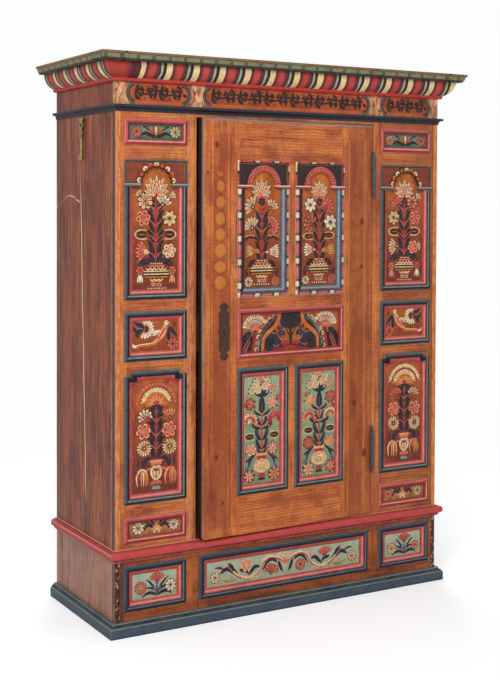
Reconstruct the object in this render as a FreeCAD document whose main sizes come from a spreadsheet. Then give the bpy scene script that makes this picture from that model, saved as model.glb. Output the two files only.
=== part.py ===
"""One-door painted kas cupboard: base box, panelled case, cornice box and a hinged, locking door.

Frame: origin on the floor under the middle of the whole cupboard, +X to the right of someone
facing the door, +Y from the front to the back, +Z up. Millimetres and degrees.
"""
import FreeCAD, Part
import math
import os
import Sketcher

Vector = FreeCAD.Vector
DOC = FreeCAD.newDocument("kas_cupboard")
PIECES = []

# ---------------------------------------------------------------- sizes and places

SIZES = [
    # plan of the front: half the opening, then a field, then the edge of the side board
    ("opening_width", 726, "clear width between the two fields"),
    ("field_inner_margin", 35, "opening edge to the field's panel frames"),
    ("field_panel_width", 231, "outside width of a field's panel frames"),
    ("field_outer_margin", 13, "panel frames to the side board"),
    ("side_board", 18, "thickness of the side boards"),
    ("body_depth", 510, "front face of the fields to the back face"),
    # heights of the field from the waist moulding to the neck moulding
    ("base_height", 244, "floor to the waist moulding"),
    ("waist_height", 39, "height of the waist moulding"),
    ("row_start", 17, "waist moulding to the lowest field panel"),
    ("small_panel", 86, "height of a small field panel"),
    ("tall_gap", 42, "small panel to tall panel"),
    ("tall_panel", 422, "height of the tall field panel at its sides"),
    ("ear_rise", 16, "rise of the tall panel's middle above its notched corners"),
    ("ear_inset", 28, "width of the tall panel's notched corners"),
    ("square_gap", 32, "tall panel to the square panel"),
    ("square_panel", 164, "height of the square field panel"),
    ("arched_gap", 38, "square panel to arched panel"),
    ("arched_panel", 460, "height of the arched field panel"),
    ("top_gap", 47, "arched panel to the top small panel"),
    ("row_end", 22, "top small panel to the neck moulding"),
    # the cornice, upwards
    ("neck_height", 24, "height of the neck moulding"),
    ("frieze_height", 72, "height of the frieze"),
    ("bead_height", 11, "height of the red bead"),
    ("ovolo_height", 50, "height of the striped ovolo"),
    ("crown_height", 28, "height of the moulded edge at the top"),
    ("foot_reach", 24, "how far the foot moulding stands out"),
    ("foot_height", 46, "height of the foot moulding"),
    ("waist_reach", 22, "how far the waist moulding stands out"),
    ("neck_reach", 16, "how far the neck moulding stands out"),
    ("bead_reach", 13, "how far the red bead stands out"),
    ("ovolo_reach", 48, "how far the ovolo stands out at its top"),
    ("crown_reach", 79, "how far the top edge stands out"),
    # boards
    ("frame_board", 28, "thickness of stiles and rails"),
    ("panel_board", 12, "thickness of the panels"),
    ("panel_sink", 6, "panel face behind the frame face"),
    ("back_board", 15, "thickness of the back boards"),
    ("floor_board", 18, "thickness of the floor boards"),
    ("shelf_board", 20, "thickness of the shelves"),
    ("dust_board", 16, "thickness of the boards on top"),
    ("cornice_board", 20, "thickness of the frieze boards"),
    ("groove_depth", 8, "how far a panel enters the frame"),
    ("tenon_length", 15, "length of the rails' tenons"),
    ("tenon_thick", 9, "thickness of the rails' tenons"),
    ("batten", 22, "width of the battens inside"),
    ("batten_high", 28, "height of the battens inside"),
    ("case_lap", 18, "base box behind the waist moulding"),
    # panel frames: an outer moulding and an inner bevel
    ("frame_width", 19, "width of the outer moulding"),
    ("frame_rise", 5.5, "outer moulding above the frame face"),
    ("frame_step", 1.5, "outer edge of the outer moulding"),
    ("frame_lap", 10, "outer moulding's seat on the frame"),
    ("bevel_width", 14, "width of the inner bevel"),
    ("bevel_rise", 3.5, "bevel's high edge above the frame face"),
    ("bevel_lip", 1.8, "bevel's thin edge above the panel"),
    ("edge_width", 8, "width of the thin edge round an arch's spandrel"),
    ("edge_rise", 4, "rise of that thin edge"),
    # arches
    ("spandrel_sink", 1.5, "spandrel face behind the frame face"),
    ("impost_drop", 79, "impost top below the arched panel's top"),
    ("impost_height", 10, "height of an impost"),
    ("impost_rise", 7, "impost above the frame face"),
    ("field_arch_outer", 68.5, "outer radius of the field's arch"),
    ("field_arch_inner", 57, "inner radius of the field's arch"),
    ("door_arch_outer", 68, "outer radius of the door's arch"),
    ("door_arch_inner", 48, "inner radius of the door's arch"),
    ("arch_rise", 4, "arch band above the frame face"),
    # base box
    ("base_rail", 75, "floor to the base panel frames"),
    ("base_panel_top", 17, "base panel frames to the waist moulding"),
    ("base_centre_inset", 13, "opening edge to the middle base panel"),
    # door
    ("door_board", 27.5, "thickness of the door's stiles and rails"),
    ("lock_gap", 3, "door to opening at the lock side"),
    ("hinge_gap", 2, "door to opening at the hinge side"),
    ("sill_gap", 3, "door to threshold"),
    ("head_gap", 3, "door to head rail"),
    ("head_rail_drop", 10, "head rail showing below the neck moulding"),
    ("lock_margin", 138, "door edge to the panel frames at the lock side"),
    ("door_panel_width", 214, "outside width of a door panel frame"),
    ("door_muntin", 27, "between the paired door panel frames"),
    ("door_top_rail", 139, "door top to the upper panel frames"),
    ("door_upper", 466, "height of the upper panel frames"),
    ("door_upper_gap", 39, "upper frames to the middle frame"),
    ("door_middle", 170, "height of the middle panel frame"),
    ("door_lower_gap", 32, "middle frame to the lower frames"),
    ("door_lower", 436, "height of the lower panel frames"),
    ("door_impost_drop", 83, "impost top below the door panel's top"),
    ("door_corner", 13, "radius of the door's lower free corner"),
    ("door_rounding", 3, "radius of the door's free edge"),
    ("ajar", 3, "degrees that the door stands open at rest"),
    ("stop_gap", 0.5, "closed door to its stops"),
    ("stop_batten", 16, "thickness of the door stops"),
    # hinges
    ("barrel_radius", 7, "radius of a hinge barrel"),
    ("barrel_half", 85, "height of half a hinge"),
    ("barrel_tip", 4.5, "radius of a barrel's narrow tip"),
    ("tip_length", 18, "length of a barrel's narrow tip"),
    ("barrel_gap", 0.15, "half the gap between the two barrels"),
    ("barrel_stand", 7.5, "hinge axis in front of the frame face"),
    ("pin_radius", 3, "radius of a hinge pin"),
    ("pin_play", 0.05, "radial play of the pin in the door's barrel"),
    ("pin_half", 40, "half the length of a hinge pin"),
    ("leaf_thick", 1.8, "thickness of a hinge leaf"),
    ("leaf_height", 56, "height of a hinge leaf"),
    ("leaf_depth", 20, "how far a hinge leaf enters the wood"),
    ("hinge_low", 240, "threshold to the middle of the lower hinge"),
    ("hinge_drop", 180, "door top to the middle of the upper hinge"),
    # lock
    ("keyhole_inset", 86, "door edge to the keyhole"),
    ("keyhole_height", 696, "door bottom to the keyhole"),
    ("keyhole_radius", 4.5, "radius of the keyhole's eye"),
    ("keyhole_slot", 13, "length of the keyhole's slot"),
    ("plate_width", 44, "width of the escutcheon"),
    ("plate_height", 194, "height of the escutcheon"),
    ("plate_thick", 2, "thickness of the escutcheon"),
    ("plate_lobe", 17, "radius of the escutcheon's end lobes"),
    ("plate_lift", 3, "escutcheon's middle above the keyhole's eye"),
    ("case_length", 102, "length of the lock case"),
    ("case_height", 120, "height of the lock case"),
    ("case_depth", 14, "depth of the lock case"),
    ("case_wall", 2, "wall of the lock case"),
    ("bolt_length", 78, "length of the bolt"),
    ("bolt_height", 22, "height of the bolt"),
    ("bolt_thick", 6, "thickness of the bolt"),
    ("bolt_set", 2, "bolt behind the door's inner face"),
    ("bolt_play", 0.3, "play of the bolt in the case"),
    ("keeper_wall", 7, "thickness of the keeper's legs"),
    ("keeper_width", 20, "width of the keeper"),
    # shelves
    ("shelf_front", 75, "frame face to the shelves' front edge"),
    ("shelf_height", 380, "threshold to the lower shelf"),
    ("shelf_spacing", 360, "height from shelf to shelf"),
    # key on its nail, on the left side
    ("key_back", 268, "frame face to the key's nail"),
    ("key_drop", 31.5, "neck moulding to the key's nail"),
    ("key_stand", 6, "side board to the middle of the key"),
    ("nail_radius", 1.8, "radius of the nail"),
    ("nail_head", 4.5, "half the width of the nail's square head"),
    ("nail_depth", 14, "how far the nail enters the side board"),
    ("nail_play", 1, "nail's head to the key's bow"),
    ("eye_play", 0.3, "radial play of the key's eye on the nail"),
    ("bow_thick", 6, "thickness of the key's bow"),
    ("bow_lobe", 16, "radius of the bow's upper lobe"),
    ("bow_lower", 12.5, "radius of the bow's lower lobe"),
    ("bow_drop", 26, "nail to the lower lobe's middle"),
    ("crown_half", 19, "half width of the bow's crown"),
    ("crown_top", 23, "nail to the crown's top"),
    ("shank_radius", 4.5, "radius of the key's shank"),
    ("shank_length", 82, "length of the shank below the bow"),
    ("bit_height", 17, "height of the key's bit"),
    ("bit_reach", 15, "reach of the key's bit"),
]

PLACES = [
    ("opening_half", "=size.opening_width / 2"),
    ("field_in", "=place.opening_half + size.field_inner_margin"),
    ("field_out", "=place.field_in + size.field_panel_width"),
    ("body_inner", "=place.field_out + size.field_outer_margin"),
    ("body_half", "=place.body_inner + size.side_board"),
    ("front", "=(size.crown_reach - size.body_depth) / 2"),
    ("back", "=place.front + size.body_depth"),
    ("back_inner", "=place.back - size.back_board"),
    ("waist_top", "=size.base_height + size.waist_height"),
    ("case_low", "=size.base_height + size.case_lap"),
    ("small_low", "=place.waist_top + size.row_start"),
    ("tall_low", "=place.small_low + size.small_panel + size.tall_gap"),
    ("tall_top", "=place.tall_low + size.tall_panel"),
    ("square_low", "=place.tall_top + size.ear_rise + size.square_gap"),
    ("arched_low", "=place.square_low + size.square_panel + size.arched_gap"),
    ("arched_top", "=place.arched_low + size.arched_panel"),
    ("upper_low", "=place.arched_top + size.top_gap"),
    ("neck_low", "=place.upper_low + size.small_panel + size.row_end"),
    ("case_top", "=place.neck_low + size.neck_height / 2"),
    ("neck_top", "=place.neck_low + size.neck_height"),
    ("bead_low", "=place.neck_top + size.frieze_height"),
    ("ovolo_low", "=place.bead_low + size.bead_height"),
    ("crown_low", "=place.ovolo_low + size.ovolo_height"),
    ("crown_top", "=place.crown_low + size.crown_height"),
    ("panel_y", "=place.front + size.panel_sink"),
    ("frame_back", "=place.front + size.frame_board"),
    ("tenon_y", "=place.front + (size.frame_board - size.tenon_thick) / 2"),
    ("sight", "=size.frame_width + size.bevel_width"),
    ("base_panel_high", "=size.base_height - size.base_panel_top"),
    ("base_centre_half", "=place.opening_half - size.base_centre_inset"),
    ("impost_z", "=place.arched_top - size.impost_drop"),
    ("door_left", "=-place.opening_half + size.lock_gap"),
    ("door_right", "=place.opening_half - size.hinge_gap"),
    ("door_low", "=place.waist_top + size.sill_gap"),
    ("head_z", "=place.neck_low - size.head_rail_drop"),
    ("door_top", "=place.head_z - size.head_gap"),
    ("door_back", "=place.front + size.door_board"),
    ("door_x1", "=place.door_left + size.lock_margin"),
    ("door_x2", "=place.door_x1 + size.door_panel_width + size.door_muntin"),
    ("door_x3", "=place.door_x2 + size.door_panel_width"),
    ("door_upper_top", "=place.door_top - size.door_top_rail"),
    ("door_upper_low", "=place.door_upper_top - size.door_upper"),
    ("door_middle_top", "=place.door_upper_low - size.door_upper_gap"),
    ("door_middle_low", "=place.door_middle_top - size.door_middle"),
    ("door_lower_top", "=place.door_middle_low - size.door_lower_gap"),
    ("door_lower_low", "=place.door_lower_top - size.door_lower"),
    ("door_impost_z", "=place.door_upper_top - size.door_impost_drop"),
    ("door_tenon_y", "=place.front + (size.door_board - size.tenon_thick) / 2"),
    ("hinge_x", "=place.opening_half - size.hinge_gap / 2"),
    ("hinge_y", "=place.front - size.barrel_stand"),
    ("hinge_z1", "=place.waist_top + size.hinge_low"),
    ("hinge_z2", "=place.door_top - size.hinge_drop"),
    ("keyhole_x", "=place.door_left + size.keyhole_inset"),
    ("keyhole_z", "=place.door_low + size.keyhole_height"),
    ("case_x", "=place.door_left + size.case_wall"),
    ("bolt_y", "=place.door_back + size.bolt_set"),
    ("key_x", "=-place.body_half - size.key_stand"),
    ("key_y", "=place.front + size.key_back"),
    ("key_z", "=place.neck_low - size.key_drop"),
]


def fill_sheet(name, rows):
    """A spreadsheet with a named cell on each row."""
    sheet = DOC.addObject("Spreadsheet::Sheet", name)
    for number, (alias, value, note) in enumerate(rows, start=1):
        sheet.set(f"A{number}", note)
        sheet.set(f"B{number}", str(value))
        sheet.setAlias(f"B{number}", alias)
    return sheet


SIZE = fill_sheet("size", SIZES)
PLACE = fill_sheet("place", [(alias, formula, alias) for alias, formula in PLACES])
DOC.recompute()


# ---------------------------------------------------------------- tools

def bind(thing, **formulas):
    """Bind properties of an object; a double underscore stands for a dot."""
    for name, formula in formulas.items():
        thing.setExpression(name.replace("__", "."), str(formula))
    return thing


def put(thing, x=0, y=0, z=0):
    return bind(thing, Placement__Base__x=x, Placement__Base__y=y, Placement__Base__z=z)


def block(name, x, y, z, length, width, height):
    """A board: its low corner and its size along X, Y and Z."""
    board = DOC.addObject("Part::Box", name)
    return put(bind(board, Length=length, Width=width, Height=height), x, y, z)


def rod(name, radius, height, x, y, z, axis="Z"):
    """A cylinder that starts at a point and runs along an axis."""
    cylinder = DOC.addObject("Part::Cylinder", name)
    turn = {"X": (Vector(0, 1, 0), 90), "Y": (Vector(1, 0, 0), -90), "Z": (Vector(0, 0, 1), 0)}[axis]
    cylinder.Placement.Rotation = FreeCAD.Rotation(*turn)
    return put(bind(cylinder, Radius=radius, Height=height), x, y, z)


def group(name, members):
    bundle = DOC.addObject("Part::Compound", name)
    bundle.Links = members
    return bundle


def fuse(name, members):
    joined = DOC.addObject("Part::MultiFuse", name)
    joined.Shapes = members
    return joined


def cut(name, base, tool):
    rest = DOC.addObject("Part::Cut", name)
    rest.Base = base
    rest.Tool = tool
    return rest


def mirror(name, source):
    """The same piece on the other side of the middle."""
    other = DOC.addObject("Part::Mirroring", name)
    other.Source = source
    other.Normal = Vector(1, 0, 0)
    return other


def piece(name, thing):
    """Name a finished sub-part; it may be a list of solids."""
    if isinstance(thing, list):
        thing = group(name, thing)
    thing.Label = name
    PIECES.append(thing)
    return thing


def swing(name, members):
    """A sub-part of the door, turned about the hinge axis to the angle that the door rests at."""
    leaf = group(name, members)
    leaf.Placement.Rotation = FreeCAD.Rotation(Vector(0, 0, 1), 1)
    bind(leaf, Placement__Rotation__Angle="size.ajar")
    put(leaf,
        x="place.hinge_x * (1 - cos(size.ajar)) + place.hinge_y * sin(size.ajar)",
        y="place.hinge_y * (1 - cos(size.ajar)) - place.hinge_x * sin(size.ajar)")
    return piece(name, leaf)


def origin_part(body, role):
    return next(feature for feature in body.Origin.OriginFeatures if feature.Role == role)


def blank_sketch(body, name, role, offset=None):
    sketch = body.newObject("Sketcher::SketchObject", name)
    sketch.AttachmentSupport = [(origin_part(body, role), "")]
    sketch.MapMode = "FlatFace"
    if offset is not None:
        bind(sketch, AttachmentOffset__Base__z=offset)
    return sketch


def value(formula):
    return float(SIZE.evalExpression(str(formula)))


def arc_between(start, end, centre):
    """The arc of half a turn or less from start to end, and whether it runs anticlockwise."""
    side = (start[0] - centre[0]) * (end[1] - centre[1]) - (start[1] - centre[1]) * (end[0] - centre[0])
    anticlockwise = side > -1e-6
    first, last = (start, end) if anticlockwise else (end, start)
    angles = [math.atan2(point[1] - centre[1], point[0] - centre[0]) for point in (first, last)]
    if angles[1] <= angles[0]:
        angles[1] += 2 * math.pi
    circle = Part.Circle(Vector(*centre, 0), Vector(0, 0, 1), math.dist(first, centre))
    return Part.ArcOfCircle(circle, *angles), anticlockwise


def draw(sketch, corners, closed=True):
    """An outline through corners, each bound to two formulas.

    A corner (x, y) ends a straight line; a corner (x, y, centre_x, centre_y) ends an arc.
    """
    spots = [(value(corner[0]), value(corner[1])) for corner in corners]
    base = sketch.GeometryCount
    ends = []
    steps = list(range(1, len(corners))) + ([0] if closed else [])
    for index in steps:
        start, end = spots[index - 1], spots[index]
        number = sketch.GeometryCount
        if len(corners[index]) == 4:
            centre = (value(corners[index][2]), value(corners[index][3]))
            arc, anticlockwise = arc_between(start, end, centre)
            sketch.addGeometry(arc)
            ends.append((number, 1 if anticlockwise else 2, 2 if anticlockwise else 1))
            upright = abs(end[1] - start[1]) > abs(end[0] - start[0])
            kind, place = ("DistanceX", 2) if upright else ("DistanceY", 3)
            hold(sketch, kind, number, 3, corners[index][place])
        else:
            sketch.addGeometry(Part.LineSegment(Vector(*start, 0), Vector(*end, 0)))
            ends.append((number, 1, 2))
    for order, index in enumerate(steps):
        number, first, last = ends[order]
        hold(sketch, "DistanceX", number, first, corners[index - 1][0])
        hold(sketch, "DistanceY", number, first, corners[index - 1][1])
        if order + 1 < len(ends):
            sketch.addConstraint(Sketcher.Constraint("Coincident", number, last, ends[order + 1][0], ends[order + 1][1]))
    if closed:
        sketch.addConstraint(Sketcher.Constraint("Coincident", ends[-1][0], ends[-1][2], base, ends[0][1]))
    else:
        hold(sketch, "DistanceX", ends[-1][0], ends[-1][2], corners[-1][0])
        hold(sketch, "DistanceY", ends[-1][0], ends[-1][2], corners[-1][1])
    return sketch


def hold(sketch, kind, number, point, formula):
    """Bind one coordinate of a sketch point."""
    constraint = sketch.addConstraint(Sketcher.Constraint(kind, -1, 1, number, point, value(formula)))
    sketch.setExpression(f"Constraints[{constraint}]", str(formula))


def pad(body, sketch, length, reversed_way=False, symmetric=False):
    feature = body.newObject("PartDesign::Pad", body.Name + "_pad")
    feature.Profile = sketch
    feature.Reversed = reversed_way
    if symmetric:
        feature.SideType = "Symmetric"
    return bind(feature, Length=length)


def new_body(name):
    return DOC.addObject("PartDesign::Body", name)


# ---------------------------------------------------------------- mouldings round the case

def mitre(body, corners):
    """Cut the triangles that leave the mitred ends of a length of moulding."""
    sketch = blank_sketch(body, body.Name + "_mitres", "XY_Plane")
    for triangle in corners:
        draw(sketch, triangle)
    pocket = body.newObject("PartDesign::Pocket", body.Name + "_mitre")
    pocket.Profile = sketch
    pocket.Type = "ThroughAll"
    pocket.Reversed = True


def outwards(profile, face):
    """A profile's corners (reach, height) placed outside a face."""
    placed = []
    for corner in profile:
        spot = [f"{face} - ({corner[0]})", corner[1]]
        if len(corner) == 4:
            spot += [f"{face} - ({corner[2]})", corner[3]]
        placed.append(tuple(spot))
    return placed


def moulding_run(name, profile, reach):
    """Front, left and right lengths of one moulding, mitred at the front corners."""
    front = new_body(name + "_front_length")
    sketch = draw(blank_sketch(front, name + "_front_profile", "YZ_Plane"), outwards(profile, "place.front"))
    pad(front, sketch, f"2 * (place.body_half + {reach})", symmetric=True)
    ends = []
    for sign in ("-", ""):
        inner = (f"{sign}1 * place.body_half", "place.front")
        outer = (f"{sign}1 * (place.body_half + {reach})", "place.front")
        tip = (f"{sign}1 * (place.body_half + {reach})", f"place.front - {reach}")
        ends.append([inner, outer, tip])
    mitre(front, ends)
    left = new_body(name + "_left_length")
    sketch = blank_sketch(left, name + "_left_profile", "XZ_Plane", f"{reach} - place.front")
    draw(sketch, outwards(profile, "-place.body_half"))
    pad(left, sketch, f"size.body_depth + {reach}", reversed_way=True)
    mitre(left, [[("-place.body_half", "place.front"),
                  ("-place.body_half", f"place.front - {reach}"),
                  (f"-place.body_half - {reach}", f"place.front - {reach}")]])
    return [front, left, mirror(name + "_right_length", left)]


def foot_moulding():
    """Plinth moulding: upright face, a small step, a quarter round and a top fillet."""
    face = "size.foot_height * 0.7"
    round_top = "size.foot_height * 0.7 + size.foot_reach / 3"
    profile = [
        ("0", "0"),
        ("size.foot_reach", "0"),
        ("size.foot_reach", face),
        ("size.foot_reach * 5 / 6", face),
        ("size.foot_reach / 2", round_top, "size.foot_reach / 2", face),
        ("size.foot_reach / 2", "size.foot_height"),
        ("0", "size.foot_height"),
    ]
    return piece("foot_moulding", moulding_run("foot_moulding", profile, "size.foot_reach"))


def waist_moulding():
    """Red waist moulding: fillet, groove, a large round nose and a sloping weathered top."""
    low = "size.base_height"
    profile = [
        ("0", low),
        ("size.waist_reach * 0.4", low),
        ("size.waist_reach * 0.4", f"{low} + size.waist_height * 0.15"),
        ("size.waist_reach * 0.55", f"{low} + size.waist_height * 0.15"),
        ("size.waist_reach * 0.55", f"{low} + size.waist_height * 0.26"),
        ("size.waist_reach", f"{low} + size.waist_height * 0.26 + size.waist_reach * 0.45",
         "size.waist_reach * 0.55", f"{low} + size.waist_height * 0.26 + size.waist_reach * 0.45"),
        ("size.waist_reach", f"{low} + size.waist_height * 0.72"),
        ("size.waist_reach * 0.86", f"{low} + size.waist_height * 0.84"),
        ("0", "place.waist_top"),
    ]
    return piece("waist_moulding", moulding_run("waist_moulding", profile, "size.waist_reach"))


def neck_moulding():
    """Dark neck moulding: a cove under a square fillet."""
    low = "place.neck_low"
    cove = "size.neck_reach * 0.62"
    profile = [
        ("0", low),
        ("size.neck_reach * 0.2", low),
        ("size.neck_reach * 0.2", f"{low} + size.neck_height * 0.18"),
        (f"size.neck_reach * 0.2 + {cove}", f"{low} + size.neck_height * 0.18 + {cove}",
         f"size.neck_reach * 0.2 + {cove}", f"{low} + size.neck_height * 0.18"),
        ("size.neck_reach", f"{low} + size.neck_height * 0.18 + {cove}"),
        ("size.neck_reach", f"{low} + size.neck_height * 0.92"),
        ("0", "place.neck_top"),
    ]
    return piece("neck_moulding", moulding_run("neck_moulding", profile, "size.neck_reach"))


def cornice_bead():
    """Red bead under the ovolo, rounded below."""
    profile = [
        ("0", "place.bead_low"),
        ("size.bead_reach - size.bead_height / 2", "place.bead_low"),
        ("size.bead_reach", "place.bead_low + size.bead_height / 2",
         "size.bead_reach - size.bead_height / 2", "place.bead_low + size.bead_height / 2"),
        ("size.bead_reach", "place.ovolo_low"),
        ("0", "place.ovolo_low"),
    ]
    return piece("cornice_bead", moulding_run("cornice_bead", profile, "size.bead_reach"))


def cornice_ovolo():
    """Striped ovolo: a convex sweep that ends upright at its top."""
    swell = "(size.ovolo_reach - size.bead_reach)"
    radius = f"(({swell} * {swell} + size.ovolo_height * size.ovolo_height) / (2 * {swell}))"
    profile = [
        ("0", "place.ovolo_low"),
        ("size.bead_reach", "place.ovolo_low"),
        ("size.ovolo_reach", "place.crown_low", f"size.ovolo_reach - {radius}", "place.crown_low"),
        ("0", "place.crown_low"),
    ]
    return piece("cornice_ovolo", moulding_run("cornice_ovolo", profile, "size.ovolo_reach"))


def crown_moulding():
    """Moulded top edge in two steps, seated on the frieze boards."""
    low = "place.crown_low"
    profile = [
        ("-size.cornice_board * 0.4", low),
        ("size.crown_reach * 0.85", low),
        ("size.crown_reach * 0.85", f"{low} + size.crown_height * 0.2"),
        ("size.crown_reach * 0.89", f"{low} + size.crown_height * 0.24"),
        ("size.crown_reach * 0.94", f"{low} + size.crown_height * 0.68"),
        ("size.crown_reach", f"{low} + size.crown_height * 0.78"),
        ("size.crown_reach", "place.crown_top"),
        ("-size.cornice_board * 0.4", "place.crown_top"),
    ]
    return piece("crown_moulding", moulding_run("crown_moulding", profile, "size.crown_reach"))


# ---------------------------------------------------------------- framed panels

def frame_section():
    """Outer moulding: it rises from a thin edge to a flat arris and is rebated over the frame."""
    sweep = "(size.frame_width * 0.62)"
    rise = "(size.frame_rise - size.frame_step)"
    radius = f"(({sweep} * {sweep} + {rise} * {rise}) / (2 * {rise}))"
    return [
        ("0", "0"),
        ("0", "size.frame_step"),
        ("size.frame_width * 0.08", "size.frame_step"),
        ("size.frame_width * 0.7", "size.frame_rise", "size.frame_width * 0.7", f"size.frame_rise - {radius}"),
        ("size.frame_width * 0.94", "size.frame_rise"),
        ("size.frame_width", "size.frame_rise - 1"),
        ("size.frame_width", "-size.panel_sink"),
        ("size.frame_lap", "-size.panel_sink"),
        ("size.frame_lap", "0"),
    ]


def bevel_section():
    """Inner bevel: it falls from the moulding to a thin lip on the panel."""
    floor = "-size.panel_sink"
    return [
        ("size.frame_width", floor),
        ("size.frame_width", "size.bevel_rise"),
        ("size.frame_width + size.bevel_width * 0.14", "size.bevel_rise"),
        ("size.frame_width + size.bevel_width * 0.78", f"{floor} + size.bevel_lip * 1.6"),
        ("size.frame_width + size.bevel_width * 0.85", f"{floor} + size.bevel_lip"),
        ("place.sight", f"{floor} + size.bevel_lip"),
        ("place.sight", floor),
    ]


def edge_section():
    """Thin edge round a spandrel."""
    return [
        ("0", "0"),
        ("0", "size.edge_rise * 0.7"),
        ("size.edge_width * 0.3", "size.edge_rise"),
        ("size.edge_width", "size.edge_rise * 0.5"),
        ("size.edge_width", "0"),
    ]


def sweep_path(name, section, x, z, path, start, closed):
    """A moulding swept with mitred corners round a path on the frame face."""
    body = new_body(name)
    spine = draw(blank_sketch(body, name + "_path", "XZ_Plane"), path, closed)
    profile = blank_sketch(body, name + "_section", "XY_Plane", start)
    corners = [tuple(f"-({part})" if place % 2 else part for place, part in enumerate(corner))
               for corner in section]
    draw(profile, corners)
    pipe = body.newObject("PartDesign::AdditivePipe", name + "_pipe")
    pipe.Profile = profile
    pipe.Spine = (spine, [])
    pipe.Transition = "Right corner"
    return put(body, x, "place.front", z)


def ring(name, section, x, z, width, height):
    """A rectangular panel frame; x and z are its outer low corner."""
    path = [("0", f"{height} / 2"), ("0", height), (width, height), (width, "0"), ("0", "0")]
    return sweep_path(name, section, x, z, path, f"{height} / 2", closed=True)


def eared_ring(name, section, x, z, width, height):
    """A panel frame whose top corners are notched."""
    high = f"{height} + size.ear_rise"
    path = [("0", f"{height} / 2"), ("0", height), ("size.ear_inset", height), ("size.ear_inset", high),
            (f"{width} - size.ear_inset", high), (f"{width} - size.ear_inset", height),
            (width, height), (width, "0"), ("0", "0")]
    return sweep_path(name, section, x, z, path, f"{height} / 2", closed=True)


def cradle(name, section, x, z, width, height):
    """The lower three sides of a panel frame, open at the top."""
    path = [("0", height), ("0", "0"), (width, "0"), (width, height)]
    return sweep_path(name, section, x, z, path, height, closed=False)


def hood(name, section, x, z, width, height):
    """The upper three sides of a panel frame, open at the bottom."""
    path = [("0", "0"), ("0", height), (width, height), (width, "0")]
    return sweep_path(name, section, x, z, path, "0", closed=False)


def panel(name, x, z, width, height):
    """A panel board; x, z, width and height are those of its frame's outside."""
    inset = "(size.frame_lap - size.groove_depth)"
    return block(name, f"{x} + {inset}", "place.panel_y", f"{z} + {inset}",
                 f"{width} - 2 * {inset}", "size.panel_board", f"{height} - 2 * {inset}")


def rail(name, x, z, width, height, board="size.frame_board", tenon_y="place.tenon_y"):
    """A rail between two stiles, with a tenon at each end."""
    body = block(name + "_body", x, "place.front", z, width, board, height)
    shoulder = f"{height} * 0.12"
    tongue = block(name + "_tenon", f"{x} - size.tenon_length", tenon_y, f"{z} + {shoulder}",
                   f"{width} + 2 * size.tenon_length", "size.tenon_thick", f"{height} - 2 * {shoulder}")
    return fuse(name, [body, tongue])


def arch_set(name, x, width, impost_z, top, outer, inner):
    """Spandrel board with its round opening, raised arch band, two imposts and a thin edge."""
    low = f"({impost_z} - size.impost_height)"
    half = f"({width} / 2)"
    opening = f"({width} / 2 - size.frame_lap)"
    springing = "size.impost_height"
    board_top = f"({top} - size.frame_lap - {low})"
    board = new_body(name + "_spandrel")
    outline = [
        (opening, "0"),
        (inner, "0"),
        (inner, springing),
        (f"-({inner})", springing, "0", springing),
        (f"-({inner})", "0"),
        (f"-{opening}", "0"),
        (f"-{opening}", board_top),
        (opening, board_top),
    ]
    sketch = blank_sketch(board, name + "_spandrel_outline", "XZ_Plane")
    draw(sketch, outline)
    pad(board, sketch, "size.panel_sink - size.spandrel_sink", reversed_way=True)
    put(board, f"{x} + {half}", "place.front + size.spandrel_sink", low)
    band = new_body(name + "_band")
    sketch = blank_sketch(band, name + "_band_section", "XY_Plane")
    draw(sketch, [
        (inner, "size.spandrel_sink"),
        (outer, "size.spandrel_sink"),
        (outer, "-size.arch_rise"),
        (inner, "-size.arch_rise"),
    ])
    turn = band.newObject("PartDesign::Revolution", name + "_band_turn")
    turn.Profile = sketch
    turn.ReferenceAxis = (origin_part(band, "Y_Axis"), [""])
    turn.Angle = 180
    turn.Reversed = True
    put(band, f"{x} + {half}", "place.front", impost_z)
    imposts = []
    for side, sign in (("left", "-"), ("right", "")):
        impost = new_body(f"{name}_impost_{side}")
        sketch = blank_sketch(impost, f"{name}_impost_{side}_plan", "XY_Plane")
        draw(sketch, [
            (f"{sign}1 * {half}", "0"),
            (f"{sign}1 * {half}", "-size.impost_rise"),
            (f"{sign}1 * {inner}", "-size.impost_rise"),
            (f"{sign}1 * {inner}", "size.spandrel_sink"),
            (f"{sign}1 * {opening}", "size.spandrel_sink"),
            (f"{sign}1 * {opening}", "0"),
        ])
        pad(impost, sketch, "size.impost_height")
        imposts.append(put(impost, f"{x} + {half}", "place.front", low))
    edge = hood(name + "_edge", edge_section(), x, impost_z, width, f"({top} - {impost_z})")
    return [board, band, edge] + imposts


# ---------------------------------------------------------------- fields beside the door

def field_rows():
    """The field's five panels: name, lower edge and height of each panel frame."""
    return [
        ("lower_small", "place.small_low", "size.small_panel"),
        ("tall", "place.tall_low", "size.tall_panel"),
        ("square", "place.square_low", "size.square_panel"),
        ("arched", "place.arched_low", "size.arched_panel"),
        ("upper_small", "place.upper_low", "size.small_panel"),
    ]


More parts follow.
